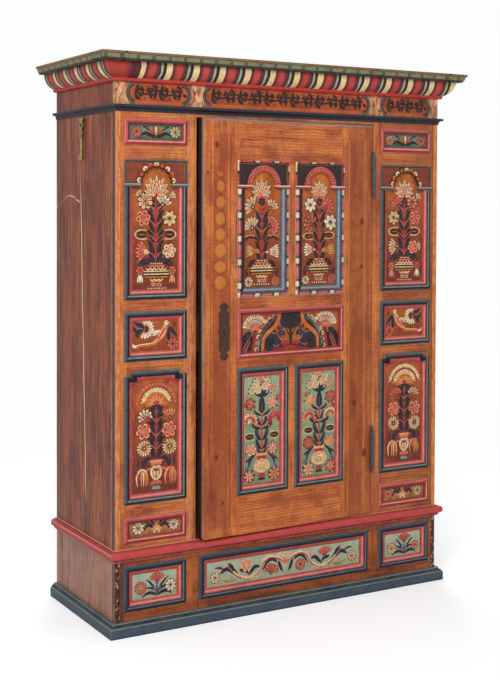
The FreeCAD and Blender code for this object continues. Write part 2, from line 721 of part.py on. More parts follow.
def right_field():
    """Panels, rails, stiles and mouldings of the field on the hinge side."""
    x = "place.field_in"
    width = "size.field_panel_width"
    panels = []
    for name, low, height in field_rows():
        rise = f"{height} + size.ear_rise" if name == "tall" else height
        panels.append(panel(f"field_{name}_panel", x, low, width, f"({rise})"))
    starts = ["place.case_low"] + [f"({low} + {height} - size.frame_lap)" for name, low, height in field_rows()]
    ends = [f"({low} + size.frame_lap)" for name, low, height in field_rows()] + ["place.case_top"]
    rails = []
    for number, (start, end) in enumerate(zip(starts, ends)):
        rails.append(rail(f"field_rail_{number}", f"({x} + size.frame_lap)", start,
                          f"({width} - 2 * size.frame_lap)", f"({end} - {start})"))
    notch = block("field_ear_notch", f"{x} + size.frame_lap + size.ear_inset", "place.front - 1",
                  "place.tall_top - size.frame_lap - 1",
                  f"{width} - 2 * size.frame_lap - 2 * size.ear_inset", "size.frame_board + 2",
                  "size.ear_rise + 1")
    rails[2] = cut("field_rail_eared", rails[2], notch)
    panel_set = group("field_panel_set", panels)
    rail_set = group("field_rail_set", rails)
    stiles = group("field_stile_blanks", [
        block("field_inner_stile", "place.opening_half", "place.front", "place.case_low",
              "size.field_inner_margin + size.frame_lap", "size.frame_board", "place.case_top - place.case_low"),
        block("field_outer_stile", "place.field_out - size.frame_lap", "place.front", "place.case_low",
              "size.field_outer_margin + size.frame_lap", "size.frame_board", "place.case_top - place.case_low"),
    ])
    stile_set = cut("field_stile_set", stiles, group("field_mortises", [rail_set, panel_set]))
    frames = []
    bevels = []
    for name, low, height in field_rows():
        for kind, section, kept in (("frame", frame_section(), frames), ("bevel", bevel_section(), bevels)):
            if kind == "bevel" and name.endswith("small"):
                continue  # the small panels have the outer moulding alone
            label = f"field_{name}_{kind}"
            if name == "tall":
                kept.append(eared_ring(label, section, x, low, width, height))
            elif name == "arched":
                sides = f"(place.impost_z - size.impost_height - {low})"
                kept.append(cradle(label, section, x, low, width, sides))
            else:
                kept.append(ring(label, section, x, low, width, height))
    arch = arch_set("field_arch", x, width, "place.impost_z", "place.arched_top",
                    "size.field_arch_outer", "size.field_arch_inner")
    return {
        "stiles": stile_set,
        "rails": cut("field_rail_grooved", rail_set, panel_set),
        "panels": panel_set,
        "mouldings": group("field_moulding_set", frames),
        "bevels": group("field_bevel_set", bevels),
        "arch": group("field_arch_set", arch),
    }


def both_fields(hinge_leaves):
    """The right field as built, let in for the hinge leaves, and the left field as its mirror."""
    for part, thing in right_field().items():
        piece(f"left_field_{part}", mirror(f"left_field_{part}", thing))
        if part == "stiles":
            thing = cut("right_field_stile_cut", thing, hinge_leaves)
        else:
            thing = group(f"right_field_{part}", [thing])
        piece(f"right_field_{part}", thing)


# ---------------------------------------------------------------- base box

def base_box():
    """Panelled front, two sides, back and the battens that carry the floor."""
    high = "place.case_low"
    panel_low = "size.base_rail"
    panel_height = "(place.base_panel_high - size.base_rail)"
    small = "size.field_panel_width"
    bays = [
        ("left", "(-place.field_out)", small),
        ("middle", "(-place.base_centre_half)", "(2 * place.base_centre_half)"),
        ("right", "place.field_in", small),
    ]
    panels = [panel(f"base_{name}_panel", x, panel_low, width, panel_height) for name, x, width in bays]
    panel_set = group("base_panel_set", panels)
    inner = "(2 * place.body_inner)"
    lap = "size.frame_lap"
    rails = [
        block("base_rail_low", "-place.body_inner", "place.front", "0", inner, "size.frame_board",
              f"size.base_rail + {lap}"),
        block("base_rail_high", "-place.body_inner", "place.front", f"place.base_panel_high - {lap}", inner,
              "size.frame_board", f"{high} - place.base_panel_high + {lap}"),
    ]
    rail_set = group("base_rail_set", rails)
    stile_low = f"(size.base_rail + {lap})"
    stile_height = f"({panel_height} - 2 * {lap})"
    tenon = "size.tenon_length"
    spans = [
        ("place.field_out - size.frame_lap", "size.field_outer_margin + size.frame_lap"),
        ("place.base_centre_half - size.frame_lap",
         "place.field_in - place.base_centre_half + 2 * size.frame_lap"),
    ]
    uprights = []
    for number, (x, width) in enumerate(spans):
        body = block(f"base_stile_{number}", x, "place.front", stile_low, width, "size.frame_board", stile_height)
        tongue = block(f"base_tongue_{number}", f"{x} + ({width}) * 0.2", "place.tenon_y", f"{stile_low} - {tenon}",
                       f"({width}) * 0.6", "size.tenon_thick", f"{stile_height} + 2 * {tenon}")
        upright = fuse(f"base_upright_{number}", [body, tongue])
        uprights += [upright, mirror(f"base_upright_left_{number}", upright)]
    upright_set = group("base_upright_set", uprights)
    piece("base_stiles", cut("base_stiles", upright_set, panel_set))
    piece("base_rails", cut("base_rails", rail_set, group("base_mortises", [upright_set, panel_set])))
    piece("base_panels", panel_set)
    piece("base_panel_mouldings", [ring(f"base_{name}_frame", frame_section(), x, panel_low, width, panel_height)
                                   for name, x, width in bays])
    piece("base_panel_bevels", [ring(f"base_{name}_bevel", bevel_section(), x, panel_low, width, panel_height)
                                for name, x, width in bays])
    left = block("base_side_left_board", "-place.body_half", "place.front", "0",
                 "size.side_board", "size.body_depth", high)
    piece("base_side_left", [left])
    piece("base_side_right", mirror("base_side_right_board", left))
    piece("base_back", [block("base_back_board", "-place.body_inner", "place.back_inner", "0", inner,
                              "size.back_board", high)])
    low = f"{high} - size.batten_high"
    side = block("base_batten_side", "-place.body_inner", "place.frame_back + size.batten", low,
                 "size.batten", "place.back_inner - place.frame_back - 2 * size.batten", "size.batten_high")
    piece("base_battens", [
        block("base_batten_front", "-place.body_inner", "place.frame_back", low, inner, "size.batten",
              "size.batten_high"),
        block("base_batten_back", "-place.body_inner", "place.back_inner - size.batten", low, inner, "size.batten",
              "size.batten_high"),
        side,
        mirror("base_batten_other_side", side),
    ])


# ---------------------------------------------------------------- case

def planks(name, count, x, y, z, length, width, height, along="x"):
    """Equal boards side by side along X or Y."""
    boards = []
    for number in range(count):
        if along == "x":
            step = f"({length}) / {count}"
            boards.append(block(f"{name}_{number}", f"{x} + {number} * {step}", y, z, step, width, height))
        else:
            step = f"({width}) / {count}"
            boards.append(block(f"{name}_{number}", x, f"{y} + {number} * {step}", z, length, step, height))
    return boards


def case_sides(nail):
    """Each side is two planks; the left one carries the key's nail."""
    height = "place.case_top - place.case_low"
    boards = group("side_plank_set", planks("side_plank", 2, "-place.body_half", "place.front", "place.case_low",
                                            "size.side_board", "size.body_depth", height, along="y"))
    piece("side_left", cut("side_left_planks", boards, nail))
    piece("side_right", mirror("side_right_planks", boards))


def case_back_and_floor():
    inner = "2 * place.body_inner"
    piece("back_boards", planks("back_plank", 6, "-place.body_inner", "place.back_inner", "place.case_low", inner,
                                "size.back_board", "place.case_top - place.case_low"))
    piece("floor_boards", planks("floor_plank", 4, "-place.body_inner", "place.frame_back", "place.case_low", inner,
                                 "place.back_inner - place.frame_back", "size.floor_board", along="y"))
    piece("threshold", [block("threshold_board", "-place.opening_half", "place.front", "place.case_low",
                              "size.opening_width", "size.frame_board", "place.waist_top - place.case_low")])
    piece("head_rail", [block("head_rail_board", "-place.opening_half", "place.front", "place.head_z",
                              "size.opening_width", "size.frame_board", "place.case_top - place.head_z")])


def door_stops():
    """Battens behind the closed door, at its head and on the floor."""
    y = "place.door_back + size.stop_gap"
    x = "-place.opening_half + size.field_inner_margin"
    length = "size.opening_width - 2 * size.field_inner_margin"
    floor_top = "(place.case_low + size.floor_board)"
    piece("door_stops", [
        block("head_stop", x, y, "place.head_z - size.stop_batten", length, "size.stop_batten",
              "place.case_top - place.head_z + size.stop_batten"),
        block("sill_stop", x, y, floor_top, length, "size.stop_batten",
              f"place.door_low + size.stop_batten - {floor_top}"),
    ])


def shelves():
    """Three shelves of two boards on battens that are fixed to the sides."""
    depth = "(place.back_inner - place.front - size.shelf_front)"
    battens = []
    for number, name in enumerate(("lower", "middle", "upper")):
        z = f"(place.waist_top + size.shelf_height + {number} * size.shelf_spacing)"
        piece(f"shelf_{name}", planks(f"shelf_{name}_board", 2, "-place.body_inner",
                                      "place.front + size.shelf_front", z, "2 * place.body_inner", depth,
                                      "size.shelf_board", along="y"))
        batten = block(f"shelf_batten_{name}", "-place.body_inner", "place.front + size.shelf_front",
                       f"{z} - size.batten_high", "size.batten", depth, "size.batten_high")
        battens += [batten, mirror(f"shelf_batten_{name}_right", batten)]
    piece("shelf_battens", battens)


# ---------------------------------------------------------------- cornice box

def cornice_box():
    """Frieze boards all round and the boards that close the top."""
    low = "place.case_top"
    height = "place.crown_low - place.case_top"
    board = "size.cornice_board"
    piece("frieze_front", [block("frieze_front_board", "-place.body_half", "place.front", low,
                                 "2 * place.body_half", board, height)])
    left = block("frieze_left_board", "-place.body_half", f"place.front + {board}", low,
                 board, f"size.body_depth - {board}", height)
    piece("frieze_sides", [left, mirror("frieze_right_board", left)])
    inside = f"(place.body_half - {board})"
    piece("frieze_back", [block("frieze_back_board", f"-{inside}", "place.back_inner", low, f"2 * {inside}",
                                "size.back_board", height)])
    seat = f"(place.body_half - {board} * 0.4)"
    start = f"(place.front + {board} * 0.4)"
    piece("dust_boards", planks("dust_board", 4, f"-{seat}", start, "place.crown_low", f"2 * {seat}",
                                f"place.back - {start}", "size.dust_board", along="y"))


# ---------------------------------------------------------------- door

def keyhole_tool():
    """Round eye with a slot below it, right through the door's stile and its plate."""
    depth = "size.door_board + 2 * size.plate_thick"
    start = "place.front - 2 * size.plate_thick"
    eye = rod("keyhole_eye", "size.keyhole_radius", depth, "place.keyhole_x", start, "place.keyhole_z", axis="Y")
    slot = block("keyhole_slot", "place.keyhole_x - size.keyhole_radius / 2", start,
                 "place.keyhole_z - size.keyhole_slot", "size.keyhole_radius", depth, "size.keyhole_slot")
    return fuse("keyhole", [eye, slot])


def lock_stile_blank():
    """The stile at the free edge: rounded at its lower corner and along its front arris."""
    body = new_body("lock_stile_blank")
    corner = "size.door_corner"
    right = "place.door_x1 + size.frame_lap"
    sketch = draw(blank_sketch(body, "lock_stile_outline", "XZ_Plane", "-place.front"), [
        ("place.door_left", "place.door_top"),
        ("place.door_left", f"place.door_low + {corner}"),
        (f"place.door_left + {corner}", "place.door_low",
         f"place.door_left + {corner}", f"place.door_low + {corner}"),
        (right, "place.door_low"),
        (right, "place.door_top"),
    ])
    slab = pad(body, sketch, "size.door_board", reversed_way=True)
    DOC.recompute()
    left = value("place.door_left")
    low = value("place.door_low")
    reach = value(corner)
    front = value("place.front")
    free_edges = []
    for number, edge in enumerate(slab.Shape.Edges, start=1):
        box = edge.BoundBox
        on_front = abs(box.YMax - front) < 1e-4
        if on_front and (box.XMax < left + reach + 1e-4) and box.ZMin > low - 1e-4:
            free_edges.append(f"Edge{number}")
    rounding = body.newObject("PartDesign::Fillet", "lock_stile_arris")
    rounding.Base = (slab, free_edges)
    bind(rounding, Radius="size.door_rounding")
    return body


def door_bays():
    """The door's five panel frames: name, x, lower edge, width and height."""
    pair = "size.door_panel_width"
    whole = "(place.door_x3 - place.door_x1)"
    return [
        ("lower_left", "place.door_x1", "place.door_lower_low", pair, "size.door_lower"),
        ("lower_right", "place.door_x2", "place.door_lower_low", pair, "size.door_lower"),
        ("middle", "place.door_x1", "place.door_middle_low", whole, "size.door_middle"),
        ("upper_left", "place.door_x1", "place.door_upper_low", pair, "size.door_upper"),
        ("upper_right", "place.door_x2", "place.door_upper_low", pair, "size.door_upper"),
    ]


def door_frame(keyhole, hinge_leaves):
    """Stiles, rails and muntins, mortised and grooved, with five panels."""
    lap = "size.frame_lap"
    board = "size.door_board"
    panels = [panel(f"door_{name}_panel", x, low, width, height) for name, x, low, width, height in door_bays()]
    panel_set = group("door_panel_set", panels)
    spans = [
        ("bottom", "place.door_low", f"place.door_lower_low + {lap}"),
        ("lower", f"(place.door_lower_top - {lap})", f"place.door_middle_low + {lap}"),
        ("upper", f"(place.door_middle_top - {lap})", f"place.door_upper_low + {lap}"),
        ("top", f"(place.door_upper_top - {lap})", "place.door_top"),
    ]
    left = f"(place.door_x1 + {lap})"
    width = f"(place.door_x3 - place.door_x1 - 2 * {lap})"
    rails = [rail(f"door_rail_{name}", left, low, width, f"({high} - {low})", board, "place.door_tenon_y")
             for name, low, high in spans]
    rail_set = group("door_rail_set", rails)
    muntins = []
    for name, low, height in (("lower", "place.door_lower_low", "size.door_lower"),
                              ("upper", "place.door_upper_low", "size.door_upper")):
        x = f"(place.door_x2 - size.door_muntin - {lap})"
        thick = f"(size.door_muntin + 2 * {lap})"
        body = block(f"door_muntin_{name}_body", x, "place.front", f"{low} + {lap}", thick, board,
                     f"{height} - 2 * {lap}")
        tongue = block(f"door_muntin_{name}_tenon", f"{x} + {thick} * 0.25", "place.door_tenon_y",
                       f"{low} + {lap} - size.tenon_length * 0.6", f"{thick} * 0.5", "size.tenon_thick",
                       f"{height} - 2 * {lap} + 2 * size.tenon_length * 0.6")
        muntins.append(fuse(f"door_muntin_{name}", [body, tongue]))
    muntin_set = group("door_muntin_set", muntins)
    inner = group("door_inner_set", [rail_set, muntin_set, panel_set])
    lock_stile = cut("lock_stile_mortised", lock_stile_blank(), group("lock_stile_tools", [inner, keyhole]))
    hinge_blank = block("hinge_stile_blank", "place.door_x3 - size.frame_lap", "place.front", "place.door_low",
                        "place.door_right - place.door_x3 + size.frame_lap", board,
                        "place.door_top - place.door_low")
    hinge_stile = cut("hinge_stile_mortised", hinge_blank, group("hinge_stile_tools", [inner, hinge_leaves]))
    swing("door_lock_stile", [lock_stile])
    swing("door_hinge_stile", [hinge_stile])
    swing("door_rails", [cut("door_rails_cut", rail_set, group("door_rail_tools", [muntin_set, panel_set]))])
    swing("door_muntins", [cut("door_muntins_cut", muntin_set, panel_set)])
    swing("door_panels", [panel_set])


def door_mouldings():
    """Outer mouldings, the upper and lower bevels and the two arches of the door."""
    frames = []
    bevels = []
    arches = []
    for name, x, low, width, height in door_bays():
        for kind, section, kept in (("frame", frame_section(), frames), ("bevel", bevel_section(), bevels)):
            if kind == "bevel" and name == "middle":
                continue  # the middle panel has the outer moulding alone
            label = f"door_{name}_{kind}"
            if name.startswith("upper"):
                sides = f"(place.door_impost_z - size.impost_height - {low})"
                kept.append(cradle(label, section, x, low, width, sides))
            else:
                kept.append(ring(label, section, x, low, width, height))
        if name.startswith("upper"):
            arches += arch_set(f"door_{name}_arch", x, width, "place.door_impost_z", "place.door_upper_top",
                               "size.door_arch_outer", "size.door_arch_inner")
    swing("door_mouldings", frames)
    swing("door_bevels", bevels)
    swing("door_arches", arches)


# ---------------------------------------------------------------- hinges

def barrel(name, bore, sign):
    """Half a hinge barrel with a narrow tip and a blind bore, turned about the hinge axis."""
    body = new_body(name)
    ends = [
        (bore, "size.barrel_gap"),
        ("size.barrel_radius", "size.barrel_gap"),
        ("size.barrel_radius", "size.barrel_half - size.tip_length"),
        ("size.barrel_tip", "size.barrel_half - size.tip_length"),
        ("size.barrel_tip", "size.barrel_half"),
        ("0", "size.barrel_half"),
        ("0", "size.pin_half + size.pin_play"),
        (bore, "size.pin_half + size.pin_play"),
    ]
    sketch = blank_sketch(body, name + "_profile", "XZ_Plane")
    draw(sketch, [(radius, f"{sign}1 * ({height})") for radius, height in ends])
    turn = body.newObject("PartDesign::Revolution", name + "_turn")
    turn.Profile = sketch
    turn.ReferenceAxis = (sketch, ["V_Axis"])
    turn.Angle = 360
    return body


def hinge_halves(name, bore, sign, leaf_x):
    """One half of each hinge: a barrel and the leaf that is let into the wood's edge."""
    halves = []
    for number in (1, 2):
        centre = f"place.hinge_z{number}"
        tube = put(barrel(f"{name}_barrel_{number}", bore, sign), "place.hinge_x", "place.hinge_y", centre)
        start = f"{centre} + size.tip_length / 4" if sign == "" else (
            f"{centre} - size.tip_length / 4 - size.leaf_height")
        neck = "(size.barrel_radius * 0.65)"
        leaf = block(f"{name}_leaf_{number}", leaf_x, f"place.hinge_y + {neck}", start, "size.leaf_thick",
                     f"size.barrel_stand - {neck} + size.leaf_depth", "size.leaf_height")
        halves.append(fuse(f"{name}_{number}", [tube, leaf]))
    return group(f"{name}_set", halves)


def hinges():
    """Two hinges: upper halves on the door, lower halves and pins on the frame."""
    door_half = hinge_halves("hinge_door", "size.pin_radius + size.pin_play", "",
                             "place.door_right - size.leaf_thick")
    frame_half = hinge_halves("hinge_frame", "size.pin_radius", "-", "place.opening_half")
    pins = [rod(f"hinge_pin_{number}", "size.pin_radius", "2 * size.pin_half", "place.hinge_x", "place.hinge_y",
                f"place.hinge_z{number} - size.pin_half") for number in (1, 2)]
    swing("hinge_door_halves", [door_half])
    piece("hinge_frame_halves", frame_half)
    piece("hinge_pins", pins)
    return door_half, frame_half


# ---------------------------------------------------------------- lock

def escutcheon(keyhole):
    """Iron plate with lobed ends, shouldered sides and a slight waist, pierced by the keyhole."""
    body = new_body("escutcheon_plate")
    half = "(size.plate_width / 2)"
    lobe = "size.plate_lobe"
    centre = f"(size.plate_height / 2 - {lobe})"
    shoulder = f"({centre} - {lobe} * 0.75)"
    slope = f"({lobe} * 0.35)"
    upper = [
        (lobe, centre),
        (f"{lobe} * 0.62", f"{shoulder} + {slope}"),
        (f"{half} - {slope}", shoulder),
        (half, f"{shoulder} - {slope}"),
        (f"{half} - {slope} * 0.5", "size.plate_height * 0.12"),
        (f"{half} + {slope} * 0.3", "0"),
    ]
    right = upper + [(x, f"-({z})") for x, z in upper[-2::-1]]
    left = [(f"-({x})", z) for x, z in reversed(right)]
    top = f"{centre} + {lobe}"
    outline = [("0", top), (lobe, centre, "0", centre)] + right[1:]
    outline += [("0", f"-({top})", "0", f"-{centre}"), left[0] + ("0", f"-{centre}")] + left[1:]
    outline[0] += ("0", centre)
    sketch = blank_sketch(body, "escutcheon_outline", "XZ_Plane")
    draw(sketch, outline)
    pad(body, sketch, "size.plate_thick")
    put(body, "place.keyhole_x", "place.front", "place.keyhole_z + size.plate_lift")
    swing("escutcheon", [cut("escutcheon_pierced", body, keyhole)])


def lock():
    """Rim lock on the door's inner face, its sliding bolt, and the staple on the field's stile."""
    wall = "size.case_wall"
    x = "place.case_x"
    z = "(place.keyhole_z - size.case_height * 0.5)"
    play = "size.bolt_play"
    bolt_z = "(place.keyhole_z - size.bolt_height / 2)"
    shell = block("lock_case_shell", x, "place.door_back", z, "size.case_length", "size.case_depth",
                  "size.case_height")
    cavity = block("lock_case_cavity", f"{x} + {wall}", "place.door_back", f"{z} + {wall}",
                   f"size.case_length - 2 * {wall}", f"size.case_depth - {wall}",
                   f"size.case_height - 2 * {wall}")
    mouth = block("lock_case_mouth", f"{x} - 1", f"place.bolt_y - {play}", f"{bolt_z} - {play}",
                  f"{wall} + 2", f"size.bolt_thick + 2 * {play}", f"size.bolt_height + 2 * {play}")
    swing("lock_case", [cut("lock_case_hollow", shell, group("lock_case_tools", [cavity, mouth]))])
    swing("lock_bolt", [block("lock_bolt_bar", x, "place.bolt_y", bolt_z, "size.bolt_length", "size.bolt_thick",
                              "size.bolt_height")])
    leg = "size.keeper_wall"
    keeper_x = f"(-place.opening_half - {wall} - size.keeper_width)"
    strap_y = f"(place.bolt_y + size.bolt_thick + {wall} / 2)"
    low = f"({bolt_z} - {wall} / 2 - {leg})"
    height = f"(size.bolt_height + {wall} + 2 * {leg})"
    staple = block("keeper_block", keeper_x, "place.frame_back", low, "size.keeper_width",
                   f"{strap_y} + {wall} - place.frame_back", height)
    way = block("keeper_way", f"{keeper_x} - 1", "place.frame_back - 1", f"{low} + {leg}",
                "size.keeper_width + 2", f"{strap_y} - place.frame_back + 1", f"{height} - 2 * {leg}")
    piece("lock_keeper", cut("lock_keeper_staple", staple, way))


# ---------------------------------------------------------------- key on its nail

def key_nail():
    """Iron nail in the left side, with a square forged head that keeps the key on."""
    tip = "(-place.body_half + size.nail_depth)"
    seat = "(place.key_x - size.bow_thick / 2 - size.nail_play)"
    shaft = rod("key_nail_shaft", "size.nail_radius", f"{tip} - {seat}", seat, "place.key_y", "place.key_z", axis="X")
    head = block("key_nail_head", f"{seat} - size.nail_radius", "place.key_y - size.nail_head",
                 "place.key_z - size.nail_head", "size.nail_radius", "2 * size.nail_head", "2 * size.nail_head")
    return piece("key_nail", fuse("key_nail_solid", [shaft, head]))


def side_key():
    """Key with a pierced bow: a crown and two lobes, collars, a round shank and a bit."""
    thick = "size.bow_thick"
    x = f"place.key_x - {thick} / 2"
    y = "place.key_y"
    z = "place.key_z"
    crown = new_body("key_crown")
    sketch = blank_sketch(crown, "key_crown_outline", "YZ_Plane")
    draw(sketch, [
        ("-size.crown_half", "size.crown_top"),
        ("-size.crown_half * 0.9", "size.crown_top * 0.82"),
        ("-size.crown_half * 0.5", "size.crown_top * 0.55"),
        ("size.crown_half * 0.5", "size.crown_top * 0.55"),
        ("size.crown_half * 0.9", "size.crown_top * 0.82"),
        ("size.crown_half", "size.crown_top"),
        ("0", "size.crown_top * 0.9"),
    ])
    pad(crown, sketch, thick, symmetric=True)
    put(crown, "place.key_x", y, z)
    lower = f"{z} - size.bow_drop"
    collar = f"({z} - size.bow_drop - size.bow_lower)"
    bottom = f"({collar} - size.shank_length)"
    solids = [
        crown,
        rod("key_lobe_upper", "size.bow_lobe", thick, x, y, z, axis="X"),
        rod("key_lobe_lower", "size.bow_lower", thick, x, y, lower, axis="X"),
        block("key_collar", "place.key_x - size.shank_radius * 1.2", f"{y} - size.shank_radius * 1.2",
              f"{collar} - size.shank_radius * 0.8", "size.shank_radius * 2.4", "size.shank_radius * 2.4",
              "size.shank_radius * 1.6"),
        rod("key_shank", "size.shank_radius", "size.shank_length + size.bow_lower * 0.3", "place.key_x", y, bottom),
        block("key_bit", f"place.key_x - {thick} * 0.35", y, f"{bottom} + size.shank_radius / 2",
              f"{thick} * 0.7", "size.shank_radius + size.bit_reach", "size.bit_height"),
    ]
    eye = "size.nail_radius + size.eye_play"
    start = f"{x} - 1"
    through = f"{thick} + 2"
    holes = [
        rod("key_eye", eye, through, start, y, z, axis="X"),
        block("key_slot", start, f"{y} - ({eye})", f"{z} - size.bow_lobe * 0.7", through, f"2 * ({eye})",
              "size.bow_lobe * 0.7"),
        rod("key_lower_eye", "size.bow_lower * 0.32", through, start, y, lower, axis="X"),
    ]
    for number, side in enumerate((-1, 1)):
        holes.append(rod(f"key_pierce_{number}", "size.bow_lobe * 0.34", through, start,
                         f"{y} + {side} * size.bow_lobe * 0.75", f"{z} - size.bow_lobe * 1.12", axis="X"))
    notch = block("key_bit_notch", f"{x} - 1", f"{y} + size.shank_radius + size.bit_reach * 0.45",
                  f"{bottom} + size.shank_radius / 2 + size.bit_height * 0.4", through,
                  "size.bit_reach", "size.bit_height * 0.2")
    piece("side_key", cut("side_key_solid", fuse("side_key_blank", solids), group("side_key_holes", holes + [notch])))


# ---------------------------------------------------------------- the whole cupboard

def build():
    base_box()
    foot_moulding()
    waist_moulding()
    door_leaves, frame_leaves = hinges()
    both_fields(frame_leaves)
    case_sides(key_nail())
    case_back_and_floor()
    door_stops()
    shelves()
    neck_moulding()
    cornice_box()
    cornice_bead()
    cornice_ovolo()
    crown_moulding()
    keyhole = keyhole_tool()
    door_frame(keyhole, door_leaves)
    door_mouldings()
    escutcheon(keyhole)
    lock()
    side_key()


def check():
    """Stop on any failed feature or broken shape."""
    for thing in DOC.Objects:
        bad = {"Invalid", "Error"} & set(thing.State)
        if bad:
            raise RuntimeError(f"{thing.Label} failed: {thing.State}")
    for thing in PIECES:
        if thing.Shape.isNull() or not thing.Shape.isValid() or not thing.Shape.Solids:
            raise RuntimeError(f"{thing.Label} has no valid solid")


def export():
    os.makedirs("parts", exist_ok=True)
    for thing in PIECES:
        thing.Shape.exportStep(f"parts/{thing.Label}.step")


build()
DOC.recompute()
check()
export()
print(len(PIECES), "sub-parts")
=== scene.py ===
import bmesh
import bpy
import math
from mathutils import Matrix, Vector


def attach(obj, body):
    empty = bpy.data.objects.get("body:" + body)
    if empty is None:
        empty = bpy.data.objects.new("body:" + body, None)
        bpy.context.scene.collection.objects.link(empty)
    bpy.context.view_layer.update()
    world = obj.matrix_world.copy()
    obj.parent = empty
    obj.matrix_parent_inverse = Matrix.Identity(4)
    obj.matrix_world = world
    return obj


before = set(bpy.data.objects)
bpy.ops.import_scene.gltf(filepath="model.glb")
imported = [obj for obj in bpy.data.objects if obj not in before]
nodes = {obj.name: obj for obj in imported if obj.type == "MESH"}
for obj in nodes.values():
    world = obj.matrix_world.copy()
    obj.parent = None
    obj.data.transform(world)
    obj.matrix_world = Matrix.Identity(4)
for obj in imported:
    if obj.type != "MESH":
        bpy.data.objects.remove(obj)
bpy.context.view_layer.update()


# ---------------- the view and the light
# A painted cupboard on a pale studio floor, seen from its left front corner at eye height.
# A broad lamp stands to the left, a weaker one to the right, and the room fills the rest.

view_from = Vector((-2.3085, -3.88, 1.4093))
turn, tilt, lean = 0.51713, -0.0257, 0.0035
focal, axis_across, axis_down = 1236.9, 232.2, 237.6
wide, high = 500, 680
ahead = Vector((math.sin(turn) * math.cos(tilt), math.cos(turn) * math.cos(tilt), math.sin(tilt)))
level_right = Vector((math.cos(turn), -math.sin(turn), 0))
level_up = level_right.cross(ahead)
right = level_right * math.cos(lean) + level_up * math.sin(lean)
up = level_up * math.cos(lean) - level_right * math.sin(lean)
lens = bpy.data.cameras.new("view")
lens.sensor_width = 36
lens.lens = 36 * focal / high
lens.shift_x = (wide / 2 - axis_across) / high
lens.shift_y = (axis_down - high / 2) / high
lens.clip_end = 60
camera = bpy.data.objects.new("view", lens)
camera.matrix_world = Matrix(((right.x, up.x, -ahead.x, view_from.x), (right.y, up.y, -ahead.y, view_from.y),
    (right.z, up.z, -ahead.z, view_from.z), (0, 0, 0, 1)))
bpy.context.scene.collection.objects.link(camera)
bpy.context.scene.camera = camera
bpy.context.scene.view_settings.view_transform = "Standard"


def add_lamp(name, spot, aim, size, power, colour):
    """A square lamp that looks at a point."""
    light = bpy.data.lights.new(name, "AREA")
    light.size = size
    light.energy = power
    light.color = colour
    lamp = bpy.data.objects.new(name, light)
    lamp.location = spot
    lamp.rotation_euler = (Vector(aim) - Vector(spot)).to_track_quat("-Z", "Y").to_euler()
    bpy.context.scene.collection.objects.link(lamp)


add_lamp("broad_lamp", (-2.7, -3.1, 3.1), (0, -0.1, 0.9), 1.5, 118, (1, 0.985, 0.96))
add_lamp("fill_lamp", (3.4, -4, 2.4), (0, -0.2, 0.9), 2.6, 26, (0.96, 0.98, 1))
add_lamp("back_lamp", (1.8, 4, 3.4), (0, 0, 1.2), 2.4, 95, (1, 1, 1))


bench = {}


def work_on(tree):
    """Clear a shader tree; the nodes made from here on go into it."""
    tree.nodes.clear()
    bench["tree"] = tree


def colour_of(code):
    """A written colour as linear light."""
    parts = [int(code[place:place + 2], 16) / 255 for place in (0, 2, 4)]
    return tuple(part / 12.92 if part <= 0.04045 else ((part + 0.055) / 1.055) ** 2.4 for part
        in parts) + (1,)


def put(given, socket):
    """Link an input or set it."""
    if isinstance(given, bpy.types.NodeSocket):
        bench["tree"].links.new(given, socket)
    else:
        socket.default_value = colour_of(given) if isinstance(given, str) else given


def set_node(kind, settings=None, **inputs):
    """The outputs of a new node; i0, i1 are inputs by number, and underscores stand for spaces."""
    made = bench["tree"].nodes.new("ShaderNode" + kind)
    for name, given in (settings or {}).items():
        setattr(made, name, given)
    for name, given in inputs.items():
        put(given, made.inputs[int(name[1:]) if name[1:].isdigit() else name.replace("_", " ")])
    return made.outputs


def plain_room():
    """True for what the camera, a reflection or a view through glass sees directly."""
    rays, widest = set_node("LightPath"), {"operation": "MAXIMUM"}
    seen = set_node("Math", widest, i0=rays["Is Camera Ray"], i1=rays["Is Glossy Ray"])[0]
    return set_node("Math", widest, i0=seen, i1=rays["Is Transmission Ray"])[0]


world = bpy.data.worlds.new("pale_room")
world.use_nodes = True
bpy.context.scene.world = world
work_on(world.node_tree)
lit = set_node("Background", Color=(1, 1, 1, 1), Strength=0.5)
shown = set_node("Background", Color=(0.975, 0.98, 0.985, 1), Strength=1)
sky = set_node("MixShader", i0=plain_room(), i1=lit[0], i2=shown[0])
set_node("OutputWorld", Surface=sky[0])

floor_mesh = bpy.data.meshes.new("studio_floor")
reach = 14
floor_mesh.from_pydata([(-reach, -reach, 0), (reach, -reach, 0), (reach, reach, 0), (-reach, reach, 0)], [],
    [(0, 1, 2, 3)])
studio_floor = bpy.data.objects.new("studio_floor", floor_mesh)
bpy.context.scene.collection.objects.link(studio_floor)
floor_paint = bpy.data.materials.new("studio_floor")
floor_paint.use_nodes = True
work_on(floor_paint.node_tree)
matt = set_node("BsdfDiffuse", Color=(0.84, 0.845, 0.855, 1))
glow = set_node("Emission", Color=(0.93, 0.965, 1, 1), Strength=0.34)
seen = plain_room()
lifted = set_node("AddShader", i0=matt[0], i1=glow[0])
far_white = set_node("Emission", Color=(0.975, 0.98, 0.985, 1), Strength=1)
spot = set_node("TexCoord")["Object"]
away = set_node("VectorMath", {"operation": "LENGTH"}, i0=spot)["Value"]
fade = set_node("MapRange", {"interpolation_type": "SMOOTHSTEP"}, Value=away, From_Min=1.2, From_Max=3)[0]
paled = set_node("MixShader", i0=fade, i1=lifted[0], i2=far_white[0])
skin = set_node("MixShader", i0=seen, i1=matt[0], i2=paled[0])
set_node("OutputMaterial", Surface=skin[0])
floor_mesh.materials.append(floor_paint)


# ---------------- combed paint of the carcass
# The pine frame is painted to look like a costlier figured wood: an orange-brown coat, darker
# streaks drawn along each board and short comb marks across it. The edges are rubbed pale.

